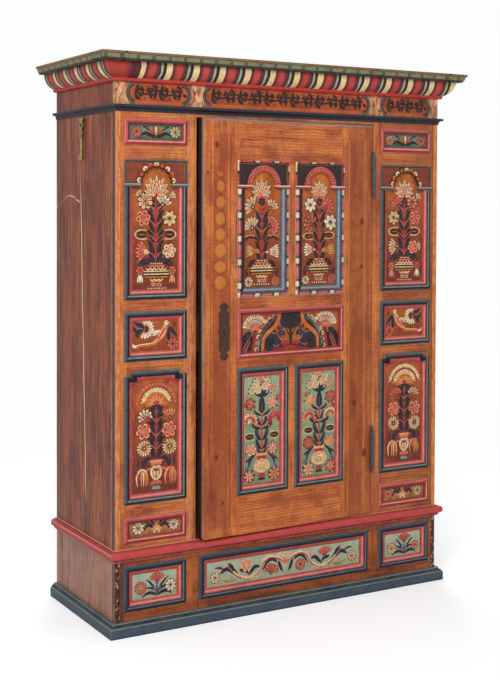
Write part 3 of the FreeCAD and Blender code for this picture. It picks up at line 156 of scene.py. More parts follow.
def math_of(operation):
    """A shader sum that takes values or sockets."""
    return lambda first, second=0, third=0: set_node("Math", {"operation": operation}, i0=first, i1=second,
        i2=third)[0]


plus, minus, times, ratio, scaled = map(math_of, ("ADD", "SUBTRACT", "MULTIPLY", "DIVIDE", "MULTIPLY_ADD"))
least, most, below, above = map(math_of, ("MINIMUM", "MAXIMUM", "LESS_THAN", "GREATER_THAN"))
size_of, fraction, whole, root, sine = map(math_of, ("ABSOLUTE", "FRACT", "FLOOR", "SQRT", "SINE"))


def over(under, upper, mask, share=None):
    """One colour laid over another by a mask."""
    mask = mask if share is None else times(mask, share)
    return set_node("Mix", {"data_type": "RGBA", "blend_type": "MIX"}, i0=mask, i6=under, i7=upper)[2]


def layers(colour, *rows):
    """Coats over a colour, one after the other: (the coat, where it lies, how strong)."""
    for row in rows:
        colour = over(colour, *row)
    return colour


def axes(place):
    """The X, Y and Z of a place, as sockets."""
    return set_node("SeparateXYZ", Vector=place)


def step_up(value, low, high):
    """0 below low, 1 above high, with a soft rise between."""
    return set_node("MapRange", {"interpolation_type": "SMOOTHSTEP"}, Value=value, From_Min=low,
        From_Max=high)[0]


def between(value, low, high, soft=0.0005):
    """1 where the value lies between two marks."""
    rise = step_up(value, low - soft, low + soft)
    fall = step_up(value, high - soft, high + soft)
    return minus(rise, fall)


def cloud(place, size, roughness=0.55, stretch=(1, 1, 1), detail=4):
    """Noise with features of about the given size, stretched along an axis."""
    pulled = set_node("VectorMath", {"operation": "MULTIPLY"}, i0=place,
        i1=tuple(1 / (size * factor) for factor in stretch))[0]
    return set_node("TexNoise", Vector=pulled, Scale=1, Detail=detail, Roughness=roughness)["Fac"]


def new_group(name, inputs, outputs):
    """A shader group with named inputs (name, kind, value) and outputs (name, kind)."""
    group = bpy.data.node_groups.new(name, "ShaderNodeTree")
    work_on(group)
    kinds = {"value": "NodeSocketFloat", "colour": "NodeSocketColor", "place": "NodeSocketVector"}
    for label, kind, *given in inputs:
        socket = group.interface.new_socket(label, in_out="INPUT", socket_type=kinds[kind])
        if given:
            socket.default_value = given[0]
    for label, kind in outputs:
        group.interface.new_socket(label, in_out="OUTPUT", socket_type=kinds[kind])
    return group, group.nodes.new("NodeGroupInput").outputs, group.nodes.new("NodeGroupOutput").inputs


def use_group(group, **inputs):
    """Set a node group in the tree at work; returns its outputs."""
    made = bench["tree"].nodes.new("ShaderNodeGroup")
    made.node_tree = group
    for name, given in inputs.items():
        put(given, made.inputs[name])
    return made.outputs


# Combed figure: X runs across the board and Z along it.
combed, given, result = new_group("combed figure",
    [("Place", "place"), ("Light", "colour"), ("Middle", "colour"), ("Dark", "colour"),
    ("Comb", "value", 0.5), ("Weave", "value", 0)], [("Colour", "colour"), ("Height", "value")])
place = given["Place"]
streaks = cloud(place, 0.01, 0.6, (0.6, 1, 22), 5)
broad = cloud(place, 0.05, 0.5, (0.9, 1, 5), 3)
patches = cloud(place, 0.1, stretch=(0.8, 1, 1.7), detail=3)
wobble = cloud(place, 0.04, 0.5, detail=2)
parts = axes(place)
comb_gap, row_gap, weave_gap, full_turn = 0.0074, 0.031, 0.0105, 2 * math.pi
comb_lines = step_up(sine(scaled(parts["Z"], full_turn / comb_gap, times(wobble, 5))), -0.5, 1)
comb_rows = step_up(sine(scaled(parts["X"], full_turn / row_gap, times(patches, 2.5))), -0.85, -0.2)
comb_mask = times(times(comb_lines, comb_rows), times(step_up(patches, 0.34, 0.56), given["Comb"]))
rows = step_up(sine(scaled(parts["X"], full_turn / weave_gap, times(wobble, 7))), 0.2, 0.95)
flecks = cloud(place, 0.011, 0.7, (0.8, 1, 1.3), 5)
tone = layers(given["Light"],
    (given["Middle"], step_up(broad, 0.36, 0.64)),
    (given["Dark"], step_up(patches, 0.5, 0.68), 0.55),
    (given["Dark"], step_up(streaks, 0.5, 0.72), 0.7),
    (given["Dark"], rows, times(given["Weave"], 0.45)),
    (given["Dark"], step_up(cloud(place, 0.006, 0.6, (7, 1, 0.7)), 0.52, 0.64), 0.42),
    (given["Dark"], step_up(cloud(place, 0.0042, 0.6, (0.6, 1, 9)), 0.55, 0.66), 0.5),
    (given["Light"], step_up(flecks, 0.54, 0.7), 0.55),
    (given["Dark"], comb_mask))
put(tone, result["Colour"])
put(scaled(streaks, 0.7, times(comb_mask, -0.5)), result["Height"])

# Unpainted spruce: fine year rings along the board, broad paler and darker bands, a few knots.
softwood, given, result = new_group("spruce grain", [("Place", "place")],
    [("Colour", "colour"), ("Height", "value")])
place = given["Place"]
bands = cloud(place, 0.022, 0.5, (1, 1, 26), 3)
fine = cloud(place, 0.0036, 0.6, (1, 1, 44))
parts = axes(place)
ring_gap = 0.011
ring_lines = step_up(sine(scaled(parts["X"], full_turn / ring_gap, times(bands, 26))), 0.2, 1)
cells = set_node("VectorMath", {"operation": "MULTIPLY"}, i0=place, i1=(7, 7, 2.4))[0]
knots = set_node("TexVoronoi", Vector=cells, Scale=1)["Distance"]
tone = layers("b78d5c",
    ("9b7048", step_up(bands, 0.38, 0.64)),
    ("7d5636", ring_lines, 0.35),
    ("6f4c30", step_up(fine, 0.5, 0.66), 0.45),
    ("452b1c", step_up(knots, 0.085, 0.045), 0.85),
    ("5f4430", step_up(cloud(place, 0.16), 0.52, 0.74), 0.35))
put(tone, result["Colour"])
put(scaled(ring_lines, -0.3, fine), result["Height"])

# Rubbed arrises: the coat is thin where two faces meet.
rubbed, given, result = new_group("rubbed arris",
    [("Place", "place"), ("Reach", "value", 0.003), ("Amount", "value", 0.6), ("Cover", "value", 0.44)],
    [("Mask", "value")])
eased = set_node("Bevel", {"samples": 4}, Radius=given["Reach"])[0]
facing = set_node("NewGeometry")["Normal"]
turned = set_node("VectorMath", {"operation": "DOT_PRODUCT"}, i0=eased, i1=facing)["Value"]
edge = step_up(minus(1, turned), 0.02, 0.22)
broken = step_up(cloud(given["Place"], 0.018, 0.65), given["Cover"], plus(given["Cover"], 0.16))
put(times(times(edge, broken), given["Amount"]), result["Mask"])

# Dust and paler wear on what faces up, dirt in uneven clouds elsewhere.
settled, given, result = new_group("settled dust", [("Place", "place"), ("Amount", "value", 0.5)],
    [("Mask", "value"), ("Dirt", "value")])
normal = set_node("NewGeometry")["True Normal"]
upward = step_up(axes(normal)["Z"], 0.25, 0.8)
drift = step_up(cloud(given["Place"], 0.06, 0.6), 0.35, 0.62)
put(times(times(upward, drift), given["Amount"]), result["Mask"])
put(step_up(cloud(given["Place"], 0.13, 0.62, detail=5), 0.52, 0.8), result["Dirt"])

# Brushwork: a flat colour with the streaks and thin spots of a bristle brush.
brushed, given, result = new_group("brushwork", [("Place", "place"), ("Colour", "colour"),
    ("Depth", "value", 0.5)], [("Colour", "colour"), ("Height", "value")])
hairs = cloud(given["Place"], 0.004, 0.5, (1, 1, 6), 3)
thin = cloud(given["Place"], 0.025, 0.6)
shade = set_node("MapRange", Value=thin, From_Min=0.3, From_Max=0.7, To_Min=0.72, To_Max=1.22)
shade = scaled(minus(hairs, 0.5), 0.5, shade[0])
varied = set_node("VectorMath", {"operation": "SCALE"}, i0=given["Colour"], Scale=shade)[0]
put(over(given["Colour"], varied, given["Depth"]), result["Colour"])
put(scaled(hairs, 0.6, thin), result["Height"])

door_angle = math.radians(3)
hinge_axis = Vector((0.362, -0.223, 0))


def board_place(on_door=False, lying=False):
    """Coordinates on a board, with the door's turned back to closed; lying boards have X and Z swapped."""
    spot = set_node("TexCoord")["Object"]
    if on_door:
        back = Matrix.Rotation(-door_angle, 3, "Z")
        shift = hinge_axis - back @ hinge_axis
        spot = set_node("Mapping", Vector=spot, Location=tuple(shift), Rotation=(0, 0, -door_angle))[0]
    if lying:
        split = axes(spot)
        spot = set_node("CombineXYZ", X=split["Z"], Y=split["Y"], Z=split["X"])[0]
    return spot


def facing_of():
    """Which way a face looks, by X, Y and Z, turning with the body it is on."""
    return axes(set_node("TexCoord")["Normal"])


def bare_where(mask, colour, place):
    """Unpainted spruce where the mask is 1: the faces that look into the cupboard."""
    return over(colour, use_group(softwood, Place=place)["Colour"], mask)


def new_paint(name):
    """A new material, with its node tree on the bench."""
    material = bpy.data.materials.new(name)
    material.use_nodes = True
    work_on(material.node_tree)
    return material


def coat(colour, height, roughness=(0.42, 0.62), relief=0.3, place=None, edge=None, dust=None, worn="b98a5c",
        metallic=0, size=0.0012, cover=0.44):
    """Finish a paint: rubbed edges, dust, sheen and relief, then the surface shader."""
    place = place or board_place()
    if edge:
        mask = use_group(rubbed, Place=place, Reach=edge[0], Amount=edge[1], Cover=cover)["Mask"]
        colour = over(colour, worn, mask)
    if dust:
        layer = use_group(settled, Place=place, Amount=dust)
        colour = layers(colour,
            ("a79c8c", layer["Mask"]),
            ((0.03, 0.015, 0.01, 1), layer["Dirt"], 0.35))
    rough = set_node("MapRange", Value=height, From_Min=0.3, From_Max=1.1, To_Min=roughness[0],
        To_Max=roughness[1])[0]
    raised = set_node("Bump", Strength=relief, Distance=size, Height=height)[0]
    skin = set_node("BsdfPrincipled", Base_Color=colour, Roughness=rough, Normal=raised, Metallic=metallic,
        Specular_IOR_Level=0.14)
    set_node("OutputMaterial", Surface=skin[0])


def brush_on(colour, depth, spot, lying=None, **finish):
    """A coat with the marks of the brush in it."""
    work = use_group(brushed, Place=spot if lying is None else board_place(lying=lying), Colour=colour,
        Depth=depth)
    coat(work["Colour"], work["Height"], place=spot, **finish)


def dress(material, *names):
    """Give the named pieces this material alone."""
    for name in names:
        skin = nodes[name].data.materials
        skin.clear()
        skin.append(material)


def combed_paint(name, light, middle, dark, comb=0.6, weave=0, lying=False, on_door=False, extra=None,
        inside=True):
    material = new_paint(name)
    plain = board_place(on_door)
    figure = use_group(combed, Place=board_place(on_door, lying), Light=light, Middle=middle, Dark=dark,
        Comb=comb, Weave=weave)
    colour = figure["Colour"]
    if extra:
        colour = extra(colour, plain)
    if inside:
        colour = bare_where(step_up(facing_of()["Y"], 0.4, 0.8), colour, board_place(on_door, lying))
    coat(colour, figure["Height"], place=plain, edge=(0.0025, 0.55), dust=0.3)
    return material


def shaded_right(colour, place):
    """Painted shade on the carcass front, with its own marks: darker and redder towards the hinge side,
    partly the coat's own tone and partly painted shade where the light falls off; a painted shadow strip at
    the right-hand edge; darker faces that look left; a paler scuffed strip beside the door; a worn pale line
    at the far left.
    """
    across = axes(place)["X"]
    scuffed = step_up(cloud(place, 0.01, 0.65, (0.6, 1, 3)), 0.4, 0.6)
    streaked = step_up(cloud(place, 0.007, 0.65, (0.5, 1, 12)), 0.42, 0.54)
    # the darker right part is partly the coat's tone and partly painted shade; the strip at the right edge is
    # painted shadow
    return layers(colour,
        ("64301f", step_up(across, 0.3, 0.62), 0.45),
        ("4a2419", step_up(across, 0.63, 0.642), 0.6),
        ("dc9c74", times(between(across, -0.4, -0.372, 0.002), scuffed), 0.45),
        ("57301f", step_up(facing_of()["X"], -0.4, -0.8), 0.92),
        ("b98a74", times(step_up(across, -0.6545, -0.656), streaked), 0.4))


def door_figure(colour, place):
    """Each door stile has a long figured field between two lines: on the lock side a chain of ovals. The
    hinge side is darker, partly painted shade, and the door's left edge face is painted near black as shadow
    in the gap.
    """
    split = axes(place)
    wave = cloud(place, 0.05, detail=3)
    plum = step_up(cloud(place, 0.07, 0.6, (0.6, 1, 1.6)), 0.52, 0.68)
    colour = over(colour, "6a2c2c", plum, 0.22)
    x = scaled(wave, 0.008, split["X"])
    z = scaled(wave, 0.02, split["Z"])
    for low, high, code, share in ((-0.316, -0.256, "8a3f26", 0.55), (0.262, 0.324, "9a4a26", 0.4)):
        inside = times(between(x, low, high, 0.003), between(z, 0.33, 1.66, 0.006))
        colour = over(colour, code, inside, share)
    for middle, low, high, share in ((-0.286, 1.13, 1.53, 0.55), (0.294, 1.1, 1.5, 0.2)):
        step = minus(fraction(ratio(z, 0.054)), 0.5)
        swell = scaled(z, -0.03, 0.0645)
        wide = ratio(minus(x, middle), swell)
        tall = ratio(step, 0.46)
        radius = root(plus(times(wide, wide), times(tall, tall)))
        reach = times(between(z, low, high, 0.01), share)
        colour = layers(colour,
            ("cf8238", times(minus(1, step_up(radius, 0.6, 0.92)), reach)),
            ("6b2f1d", times(between(radius, 0.93, 1.12, 0.06), reach), 0.6))
    for line in (-0.327, -0.25, 0.257, 0.329):
        mark = times(between(split["X"], line - 0.0016, line + 0.0016, 0.0008),
            between(z, 0.33, 1.655, 0.004))
        colour = over(colour, "e0995a" if line > 0 else "6b2f1d", mark, 0.75)
    for knot_x, knot_z, size in ((-0.3, 1.615, 0.012), (-0.335, 1.52, 0.006), (0.32, 1.355, 0.014),
            (0.318, 1.19, 0.01), (0.335, 0.51, 0.016), (0.29, 0.7, 0.012), (-0.3, 0.56, 0.01),
            (-0.275, 0.4, 0.008)):
        gap_x = ratio(minus(x, knot_x), size * 0.7)
        gap_z = ratio(minus(z, knot_z + 0.01), size)
        ball = plus(times(gap_x, gap_x), times(gap_z, gap_z))
        colour = over(colour, "35191a", minus(1, step_up(ball, 0.2, 1.6)), 0.8)
    # the hinge stile is darker, partly the coat's tone and partly painted shade; the lower lock stile is
    # darker too
    colour = layers(colour,
        ("6c2f20", step_up(split["X"], 0.235, 0.265), 0.42),
        ("7a3424", times(step_up(split["X"], -0.238, -0.262), step_up(z, 1.05, 0.75)), 0.3))
    facing = facing_of()
    fading = scaled(step_up(z, 0.7, 1.05), 0.6, 0.3)
    rim = most(times(step_up(split["X"], -0.3555, -0.357), fading), step_up(split["Z"], 1.6945, 1.696))
    rim = times(rim, step_up(facing["Y"], -0.4, -0.8))
    colour = over(colour, "6f7b82", rim, 0.85)
    # painted shadow: the door's left edge face is near black, as the shade in the gap, with grey-blue arris
    # paint at its front upper part
    sideways = step_up(facing["X"], -0.4, -0.8)
    return layers(colour,
        ("170f0e", sideways),
        ("5d686e", times(sideways, times(step_up(split["Y"], -0.2065, -0.208), fading)), 0.9))


front_light, front_middle, front_dark = "d98448", "b7633a", "6c2f26"
dress(combed_paint("field_stiles", front_light, front_middle, front_dark, 0.42, extra=shaded_right),
    "left_field_stiles", "right_field_stiles")
dress(combed_paint("field_rails", front_light, front_middle, front_dark, 0.4, 0.8, lying=True,
    extra=shaded_right), "left_field_rails", "right_field_rails", "threshold", "head_rail")
dress(combed_paint("door_stiles", "d88042", "b96234", "6f2f24", 0.36, on_door=True, extra=door_figure),
    "door_lock_stile", "door_hinge_stile", "door_muntins")
dress(combed_paint("door_rails", "d57c40", "b45e33", "6e2e23", 0.36, 0.9, lying=True, on_door=True,
    extra=door_figure), "door_rails")


def base_seams(colour, place):
    """Dark joints beside the middle panel, a brown corner, and a worn pale line along the arris."""
    across = axes(place)["X"]
    chips = step_up(cloud(place, 0.012, 0.7, (0.7, 1, 1.5)), 0.5, 0.56)
    pale = step_up(cloud(place, 0.01, 0.6, (0.7, 1, 1.3), 3), 0.58, 0.63)
    for joint in (-0.3535, 0.3535, 0.3935):
        colour = over(colour, "3a1c14", between(across, joint - 0.0012, joint + 0.0012), 0.8)
    return layers(colour,
        ("5c342b", step_up(across, -0.6285, -0.63), 0.94),
        ("2c1916", times(between(across, -0.654, -0.64, 0.001), chips), 0.75),
        ("b99c7c", times(step_up(across, -0.64, -0.642), pale), 0.7))


def plank_marks(colour, place):
    """Two planks make a side: a filled crack between them, a worn front edge, a paler foot box."""
    split = axes(place)
    foot_box = step_up(split["Z"], 0.262, 0.246)
    colour = layers(colour,
        ("b4897a", foot_box, 0.5),
        ("b46e44", step_up(cloud(place, 0.0085, 0.62, (1, 0.8, 18)), 0.5, 0.6), 0.42),
        ("38201c", step_up(cloud(place, 0.0105, 0.65, (1, 0.8, 14)), 0.53, 0.62), 0.6))
    wander = scaled(cloud(place, 0.12, detail=3), 0.012, split["Y"])
    height = split["Z"]
    lean = scaled(height, -0.045, wander)
    colour = layers(colour,
        ("2c1713", times(between(lean, 0.001, 0.0075, 0.0015), between(height, 0.34, 1.57, 0.03)), 0.8),
        (over("ecc19c", "b9683a", step_up(height, 1.4, 1.5)),
            times(between(lean, 0.008, 0.0145, 0.0012), between(height, 0.42, 1.56, 0.05)), 0.85))
    ragged = scaled(cloud(place, 0.03, 0.6), 0.034, height)
    tent = scaled(size_of(minus(wander, 0.172)), 0.32, ragged)
    split_end = times(between(tent, 1.461, 1.466, 0.0015), step_up(split["Y"], 0.075, 0.09))
    split_end = times(split_end, scaled(step_up(split["Y"], 0.19, 0.15), 0.6, 0.25))
    colour = over(colour, "e4bfa0", split_end)
    dashes = step_up(cloud(place, 0.011, 0.6, (1, 1, 2.2), 3), 0.44, 0.54)
    shaded = step_up(split["Y"], -0.188, -0.193)
    colour = over(colour, "4a281e", shaded, 0.8)
    edge = times(between(split["Y"], -0.1915, -0.1875, 0.0008),
        times(scaled(dashes, 0.45, 0.55), between(height, 0.06, 1.7, 0.02)))
    colour = layers(colour,
        ("c2a184", edge, 0.7),
        ("46291f", times(between(split["Y"], 0.23, 0.28, 0.006), 0.35)),
        ("b8733e", times(step_up(split["Y"], 0.25, 0.283), foot_box), 0.6),
        ("b48c78", times(step_up(height, 0.42, 0.1), step_up(cloud(place, 0.06), 0.4, 0.65)), 0.25))
    facing = facing_of()
    front = step_up(facing["Y"], -0.4, -0.8)
    flecks = step_up(cloud(place, 0.009, 0.6, (1, 1, 4)), 0.44, 0.6)
    orange = over("b9683c", "d08a50", flecks)
    streak = step_up(cloud(place, 0.009, 0.65, (0.5, 1, 10)), 0.38, 0.5)
    line = times(step_up(split["X"], -0.653, -0.6545), streak)
    orange = over(orange, "b98a74", line, 0.45)
    chips = step_up(cloud(place, 0.011, 0.7, (1, 1, 1.4)), 0.52, 0.57)
    brown = over("4e2d26", "2a1815", chips)
    pale = step_up(cloud(place, 0.0095, 0.6, (1, 1, 1.4), 3), 0.57, 0.61)
    brown = over(brown, "b9a083", pale, 0.8)
    colour = over(colour, over(orange, brown, foot_box), front)
    inner = step_up(times(split["X"], facing["X"]), -0.3, -0.5)
    return bare_where(inner, colour, place)


dress(combed_paint("base_rails", "a8592f", "7a4029", "45211a", 0.3, lying=True, extra=base_seams),
    "base_rails")
dress(combed_paint("base_stiles", "b96832", "944c27", "5a2a1c", 0.35, extra=base_seams), "base_stiles")
dress(combed_paint("plank_sides", "944627", "6e2d1d", "401c13", 0, extra=plank_marks, inside=False),
    "side_left", "side_right", "base_side_left", "base_side_right", "frieze_sides")


# ---------------- bare boards inside and behind
# Back, floor, shelves, battens and the tray on top are unpainted spruce, gone brown with age.
# They are planed boards, nailed on, with dust on what lies flat.

def bare_boards(name, axis, width, start, lying=True):
    """Spruce boards of one width side by side, with a dark joint between them and each of its own tone."""
    material = new_paint(name)
    spot = board_place()
    wood = use_group(softwood, Place=board_place(lying=lying))
    across = axes(spot)[axis]
    share = ratio(minus(across, start), width)
    off_middle = size_of(minus(fraction(share), 0.5))
    own = set_node("TexWhiteNoise", {"noise_dimensions": "1D"}, W=whole(share))["Value"]
    colour = over(wood["Colour"], "7a5538", own, 0.5)
    joint = step_up(off_middle, 0.5 - 0.0026 / width, 0.5 - 0.0012 / width)
    colour = over(colour, "2a1a12", joint, 0.85)
    coat(colour, wood["Height"], (0.6, 0.8), 0.3, spot, edge=(0.002, 0.3), dust=0.4)
    return material


dress(bare_boards("bare_softwood", "X", 0.214, 0, lying=False), "back_boards", "door_stops", "frieze_back")
dress(bare_boards("bare_softwood_lying", "Y", 0.21, 0.0695), "floor_boards", "shelf_lower", "shelf_middle",
    "shelf_upper", "shelf_battens", "base_battens", "base_back")
dress(bare_boards("tray_boards", "Y", 0.1255, 0.0435), "dust_boards")


# ---------------- plain mouldings round the carcass
# Foot, waist, neck and bead are run in pine and painted one colour each: slate blue, brick red,
# near black, red. The coat is worn to the ground along the arrises and dusty on top. Lines run
# along the foot and the waist; on the waist, under its dusty top line, they are painted highlights
# on the fillets and painted shadow lines beside and under them.

def plain_coat(name, code, worn, edge=(0.004, 0.7), dust=0.5, lines=(), side_lines=()):
    """One colour, with lines round it or on its side lengths, which on the waist are painted highlights and
    painted shadow: (lowest z, highest z, colour, share).
    """
    material = new_paint(name)
    spot = board_place()
    height = axes(spot)["Z"]
    colour = code
    for low, high, tone, share in lines:
        colour = over(colour, tone, between(height, low, high, 0.0004), share)
    if side_lines:
        facing = facing_of()
        turned = above(size_of(facing["X"]), size_of(facing["Y"]))
        for low, high, tone, share in side_lines:
            line = times(between(height, low, high, 0.0004), share)
            colour = over(colour, tone, line, turned)
    brush_on(colour, 0.6, spot, lying=True, edge=edge, dust=dust, worn=worn)
    return material


dress(plain_coat("foot_blue_grey", "45515d", worn="9aa5a1", edge=(0.003, 0.6), dust=0.12,
    lines=((0.0458, 0.05, "4a5654", 0.8), (0.043, 0.0458, "8c9a96", 0.75), (0.0345, 0.043, "20252c", 0.8),
    (0.0312, 0.034, "84928f", 0.7), (0, 0.006, "252c36", 0.5))), "foot_moulding")
# waist: the pale top line is dust; the pink lines are painted highlights on the fillets, the dark and black
# lines painted shadow beside and under them
dress(plain_coat("waist_red", "b94845", worn="dc9484", dust=0,
    lines=((0.2818, 0.29, "c2b49c", 0.75), (0.28, 0.2818, "6b2a2a", 0.7), (0.24, 0.249, "9c4a40", 0.7),
    (0.249, 0.253, "4c1f1f", 0.85)), side_lines=((0.2765, 0.28, "a2403c", 0.7),
    (0.2715, 0.2745, "c9a294", 0.6), (0.26, 0.268, "94423a", 0.6), (0.2545, 0.2572, "cf9a90", 0.8),
    (0.249, 0.2535, "2c1318", 0.95), (0.244, 0.2485, "cd8f88", 0.8))), "waist_moulding")
dress(plain_coat("neck_black", "2c2e36", worn="6b6e74"), "neck_moulding")
dress(plain_coat("bead_red", "b03a34", worn="cf7f6c"), "cornice_bead")


# ---------------- striped ovolo
# The large ovolo under the crown is striped across its length, the same bands over and over:
# cream, black, dark red, red, maroon, black, sage, black. The stripes turn the corners.

def along_run(place):
    """Distance along a moulding: X on the front length, Y on the side lengths."""
    split = axes(place)
    facing = facing_of()
    sideways = above(size_of(facing["X"]), size_of(facing["Y"]))
    return set_node("Mix", {"data_type": "FLOAT"}, i0=sideways, i2=split["X"], i3=split["Y"])[0]


def striped(value, pitch, start, bands, first):
    """Repeating bands: each is (where it starts within the pitch, colour, how soft its start is)."""
    phase = times(fraction(ratio(minus(value, start), pitch)), pitch)
    colour = first
    for mark, code, *soft in bands:
        soft = soft[0] if soft else 0.0008
        colour = over(colour, code, step_up(phase, mark - soft, mark + soft))
    return colour


ovolo_paint = new_paint("ovolo_stripes")
spot = board_place()
wavering = scaled(cloud(spot, 0.05, detail=2), 0.008, along_run(spot))
bands = striped(wavering, 0.0983, -0.591, [(0.023, "302529"), (0.0275, "7a3436"), (0.036, "bb4843", 0.004),
    (0.06, "673236", 0.005), (0.0735, "302529"), (0.0775, "a1a58c"), (0.0865, "302529")], "e8c894")
bands = layers(bands,
    (over("a43c36", "5a2a2d", step_up(wavering, -0.64, -0.61)), below(wavering, -0.585)),
    ("6a4534", step_up(cloud(spot, 0.004, 0.7), 0.58, 0.68), 0.5))
brush_on(bands, 0.6, spot, edge=(0.003, 0.3), dust=0.2)
dress(ovolo_paint, "cornice_ovolo")


# ---------------- crown moulding
# The top edge is run in two steps and painted sage green, marked off every two inches or so
# with dark strokes. The uppermost fillet is rubbed back to the reddish ground. The dark line and
# the dark colour at the foot of the crown are painted shadow under its overhang.

crown_paint = new_paint("crown_green")
spot = board_place()
run = scaled(cloud(spot, 0.09, detail=2), 0.012, along_run(spot))
height = axes(spot)["Z"]
green = striped(run, 0.057, -0.6, [(0.046, "3f3c32"), (0.049, "6a5a44"), (0.054, "3f3c32")], "767d60")
# painted shadow: a dark line and dark colour on the crown's lower part, under the overhang
green = layers(green,
    ("3a382f", between(height, 1.8755, 1.8785)),
    (over("8a5a42", "6f6a4c", step_up(cloud(spot, 0.02, 0.65), 0.42, 0.6)),
        step_up(height, 1.8895, 1.891)),
    ("35302a", below(height, 1.8765)))
brush_on(green, 0.7, spot, lying=True, edge=(0.003, 0.6), dust=0.5, worn="a98a63")
dress(crown_paint, "crown_moulding")


# ---------------- panel grounds
# The panels are thin boards in grooves, painted before the flowers: warm orange in the fields
# and upper door, grey green in the base and lower door, turquoise in the topmost pair.

def ground_paint(name, rows, on_door=False):
    """A panel's ground by height, in rows (lowest z, highest z, colour, clouded colour, foot colour)."""
    material = new_paint(name)
    spot = board_place(on_door)
    height = axes(spot)["Z"]
    clouds = step_up(cloud(spot, 0.05, 0.6, (0.7, 1, 1.4)), 0.38, 0.66)
    grain = step_up(cloud(spot, 0.007, 0.7, (0.8, 1, 1.3)), 0.5, 0.66)
    glow = step_up(cloud(spot, 0.016, 0.65, (0.8, 1, 1.8)), 0.52, 0.66)
    colour = None
    for low, high, code, other, foot in rows:
        tone = over(code, other, clouds)
        tall = high - low
        tone = layers(tone,
            (foot, step_up(scaled(clouds, 0.3 * tall, height), low + tall * 0.95, low + tall * 0.25)),
            (foot, grain, 0.45),
            (code, glow, 0.45))
        colour = tone if colour is None else over(colour, tone, between(height, low, high))
    work = use_group(brushed, Place=spot, Colour=colour, Depth=0.65)
    colour = bare_where(step_up(facing_of()["Y"], 0.4, 0.8), work["Colour"], spot)
    coat(colour, work["Height"], place=spot, dust=0)
    return material


field_ground = ground_paint("field_ground", [(0.89, 1.07, "b0642e", "8a4328", "7c3c2a"),
    (1.09, 1.57, "b8662e", "93462a", "6e3129"), (0.42, 0.87, "b06030", "84402a", "6e3229"),
    (1.6, 1.7, "6f9c84", "5f8a70", "3e5a4a"), (0.29, 0.39, "c98a4c", "b0703a", "8e5832")])
dress(field_ground, "left_field_panels", "right_field_panels")
dress(ground_paint("base_ground", [(0.09, 0.21, "9db49c", "ad9f88", "969a80")]), "base_panels")
dress(ground_paint("door_ground", [(0.88, 1.07, "bc6c30", "a4562c", "8a4628"),
    (1.09, 1.57, "c06c2c", "94482a", "7c3a26"), (0.4, 0.87, "98a484", "848f70", "7c8464")], on_door=True),
    "door_panels")


# ---------------- panel frames and bevels
# Each panel lies in a mitred outer moulding and an inner bevel. Field and base frames are slate
# blue with red bevels, the small and middle ones all red, the upper door frames in coloured blocks.
# The mouldings' light and shade is painted in too: the feet and right-hand members as lit, with
# painted highlight lines, the heads and left-hand members in painted shade.

def frame_coat(name, build, on_door=False, worn="8d99a0"):
    """Brushed paint on mouldings, its colour built from where a point lies on the front; the pale rubbed
    arrises are near continuous, worn paint and painted highlight lines at once.
    """
    material = new_paint(name)
    spot = board_place(on_door)
    split = axes(spot)
    colour = build(split["X"], split["Z"])
    # pale arrises here are part wear and part painted highlight lines
    brush_on(colour, 0.6, spot, edge=(0.002, 0.8), dust=0.2, worn=worn, cover=0.36)
    return material


def inset(x, z, columns, rows):
    """How far inside the nearest frame's outer edge, and 1 on its foot and right-hand member, the members
    that are painted as lit.
    """
    depths, far_sides = [], []
    for value, spans, far in ((x, columns, 1), (z, rows, 0)):
        deep = side = None
        for span in spans:
            gap = least(minus(value, span[0]), minus(span[1], value))
            off = size_of(minus(value, span[far]))
            deep = gap if deep is None else most(deep, gap)
            side = off if side is None else least(side, off)
        depths.append(deep)
        far_sides.append(side)
    depth = least(*depths)
    near = least(*far_sides)
    return depth, below(near, plus(depth, 0.0004))


def two_sided(depth, lit, tones):
    """A moulding's coat with painted light and shade: on the lit members a dark coat with a painted highlight
    band, on the members that lie in shade a middle tone with a painted highlight line near the outer edge and
    deeper painted shade on the inner part.
    """
    pale, dark, middle, deep = tones
    sunny = over(dark, pale, between(depth, 0.01, 0.015, 0.0012))
    shady = over(middle, deep, step_up(depth, 0.011, 0.0128))
    return layers(shady,
        (pale, times(between(depth, 0.0028, 0.0052, 0.0008), 0.5)),
        (sunny, lit))


slate_tones, red_tones = ("78827f", "23292f", "3c4549", "181517"), ("d98f86", "983836", "b04a47", "6a2428")
blue_tones, field_columns = ("626d73", "222934", "323a46", "191b21"), ((-0.629, -0.398), (0.398, 0.629))
field_rows = ((0.3, 0.386), (0.428, 0.866), (0.898, 1.062), (1.1, 1.56), (1.607, 1.693))
base_columns, base_rows = ((-0.629, -0.398), (-0.35, 0.35), (0.398, 0.629)), ((0.075, 0.227),)
door_columns, door_rows = ((-0.222, -0.008), (0.019, 0.233)), ((0.42, 0.856), (1.097, 1.563))


def field_frames(x, z):
    small = most(below(z, 0.4), above(z, 1.6))
    depth, lit = inset(x, z, field_columns, field_rows)
    return over(two_sided(depth, lit, slate_tones), two_sided(depth, lit, red_tones), small)


def base_frames(x, z):
    return two_sided(*inset(x, z, base_columns, base_rows), blue_tones)


def bevel_lines(depth, lit, tones):
    """An inner bevel: a painted highlight line along it, stronger on the lit members, and painted shadow
    lines beside the panel and beside the outer moulding.
    """
    colour, line, deep = tones
    stripe = between(depth, 0.0235, 0.0262, 0.0006)
    made = over(colour, line, stripe, scaled(lit, 0.55, 0.15))
    rim = most(between(depth, 0.0302, 0.04, 0.0005), below(depth, 0.0202))
    return over(made, deep, rim, 0.6)


red_bevel_tones = ("c04c49", "e0a294", "6c2326")


def field_bevels(x, z):
    return bevel_lines(*inset(x, z, field_columns, field_rows), red_bevel_tones)


def base_bevels(x, z):
    return bevel_lines(*inset(x, z, base_columns, base_rows), red_bevel_tones)


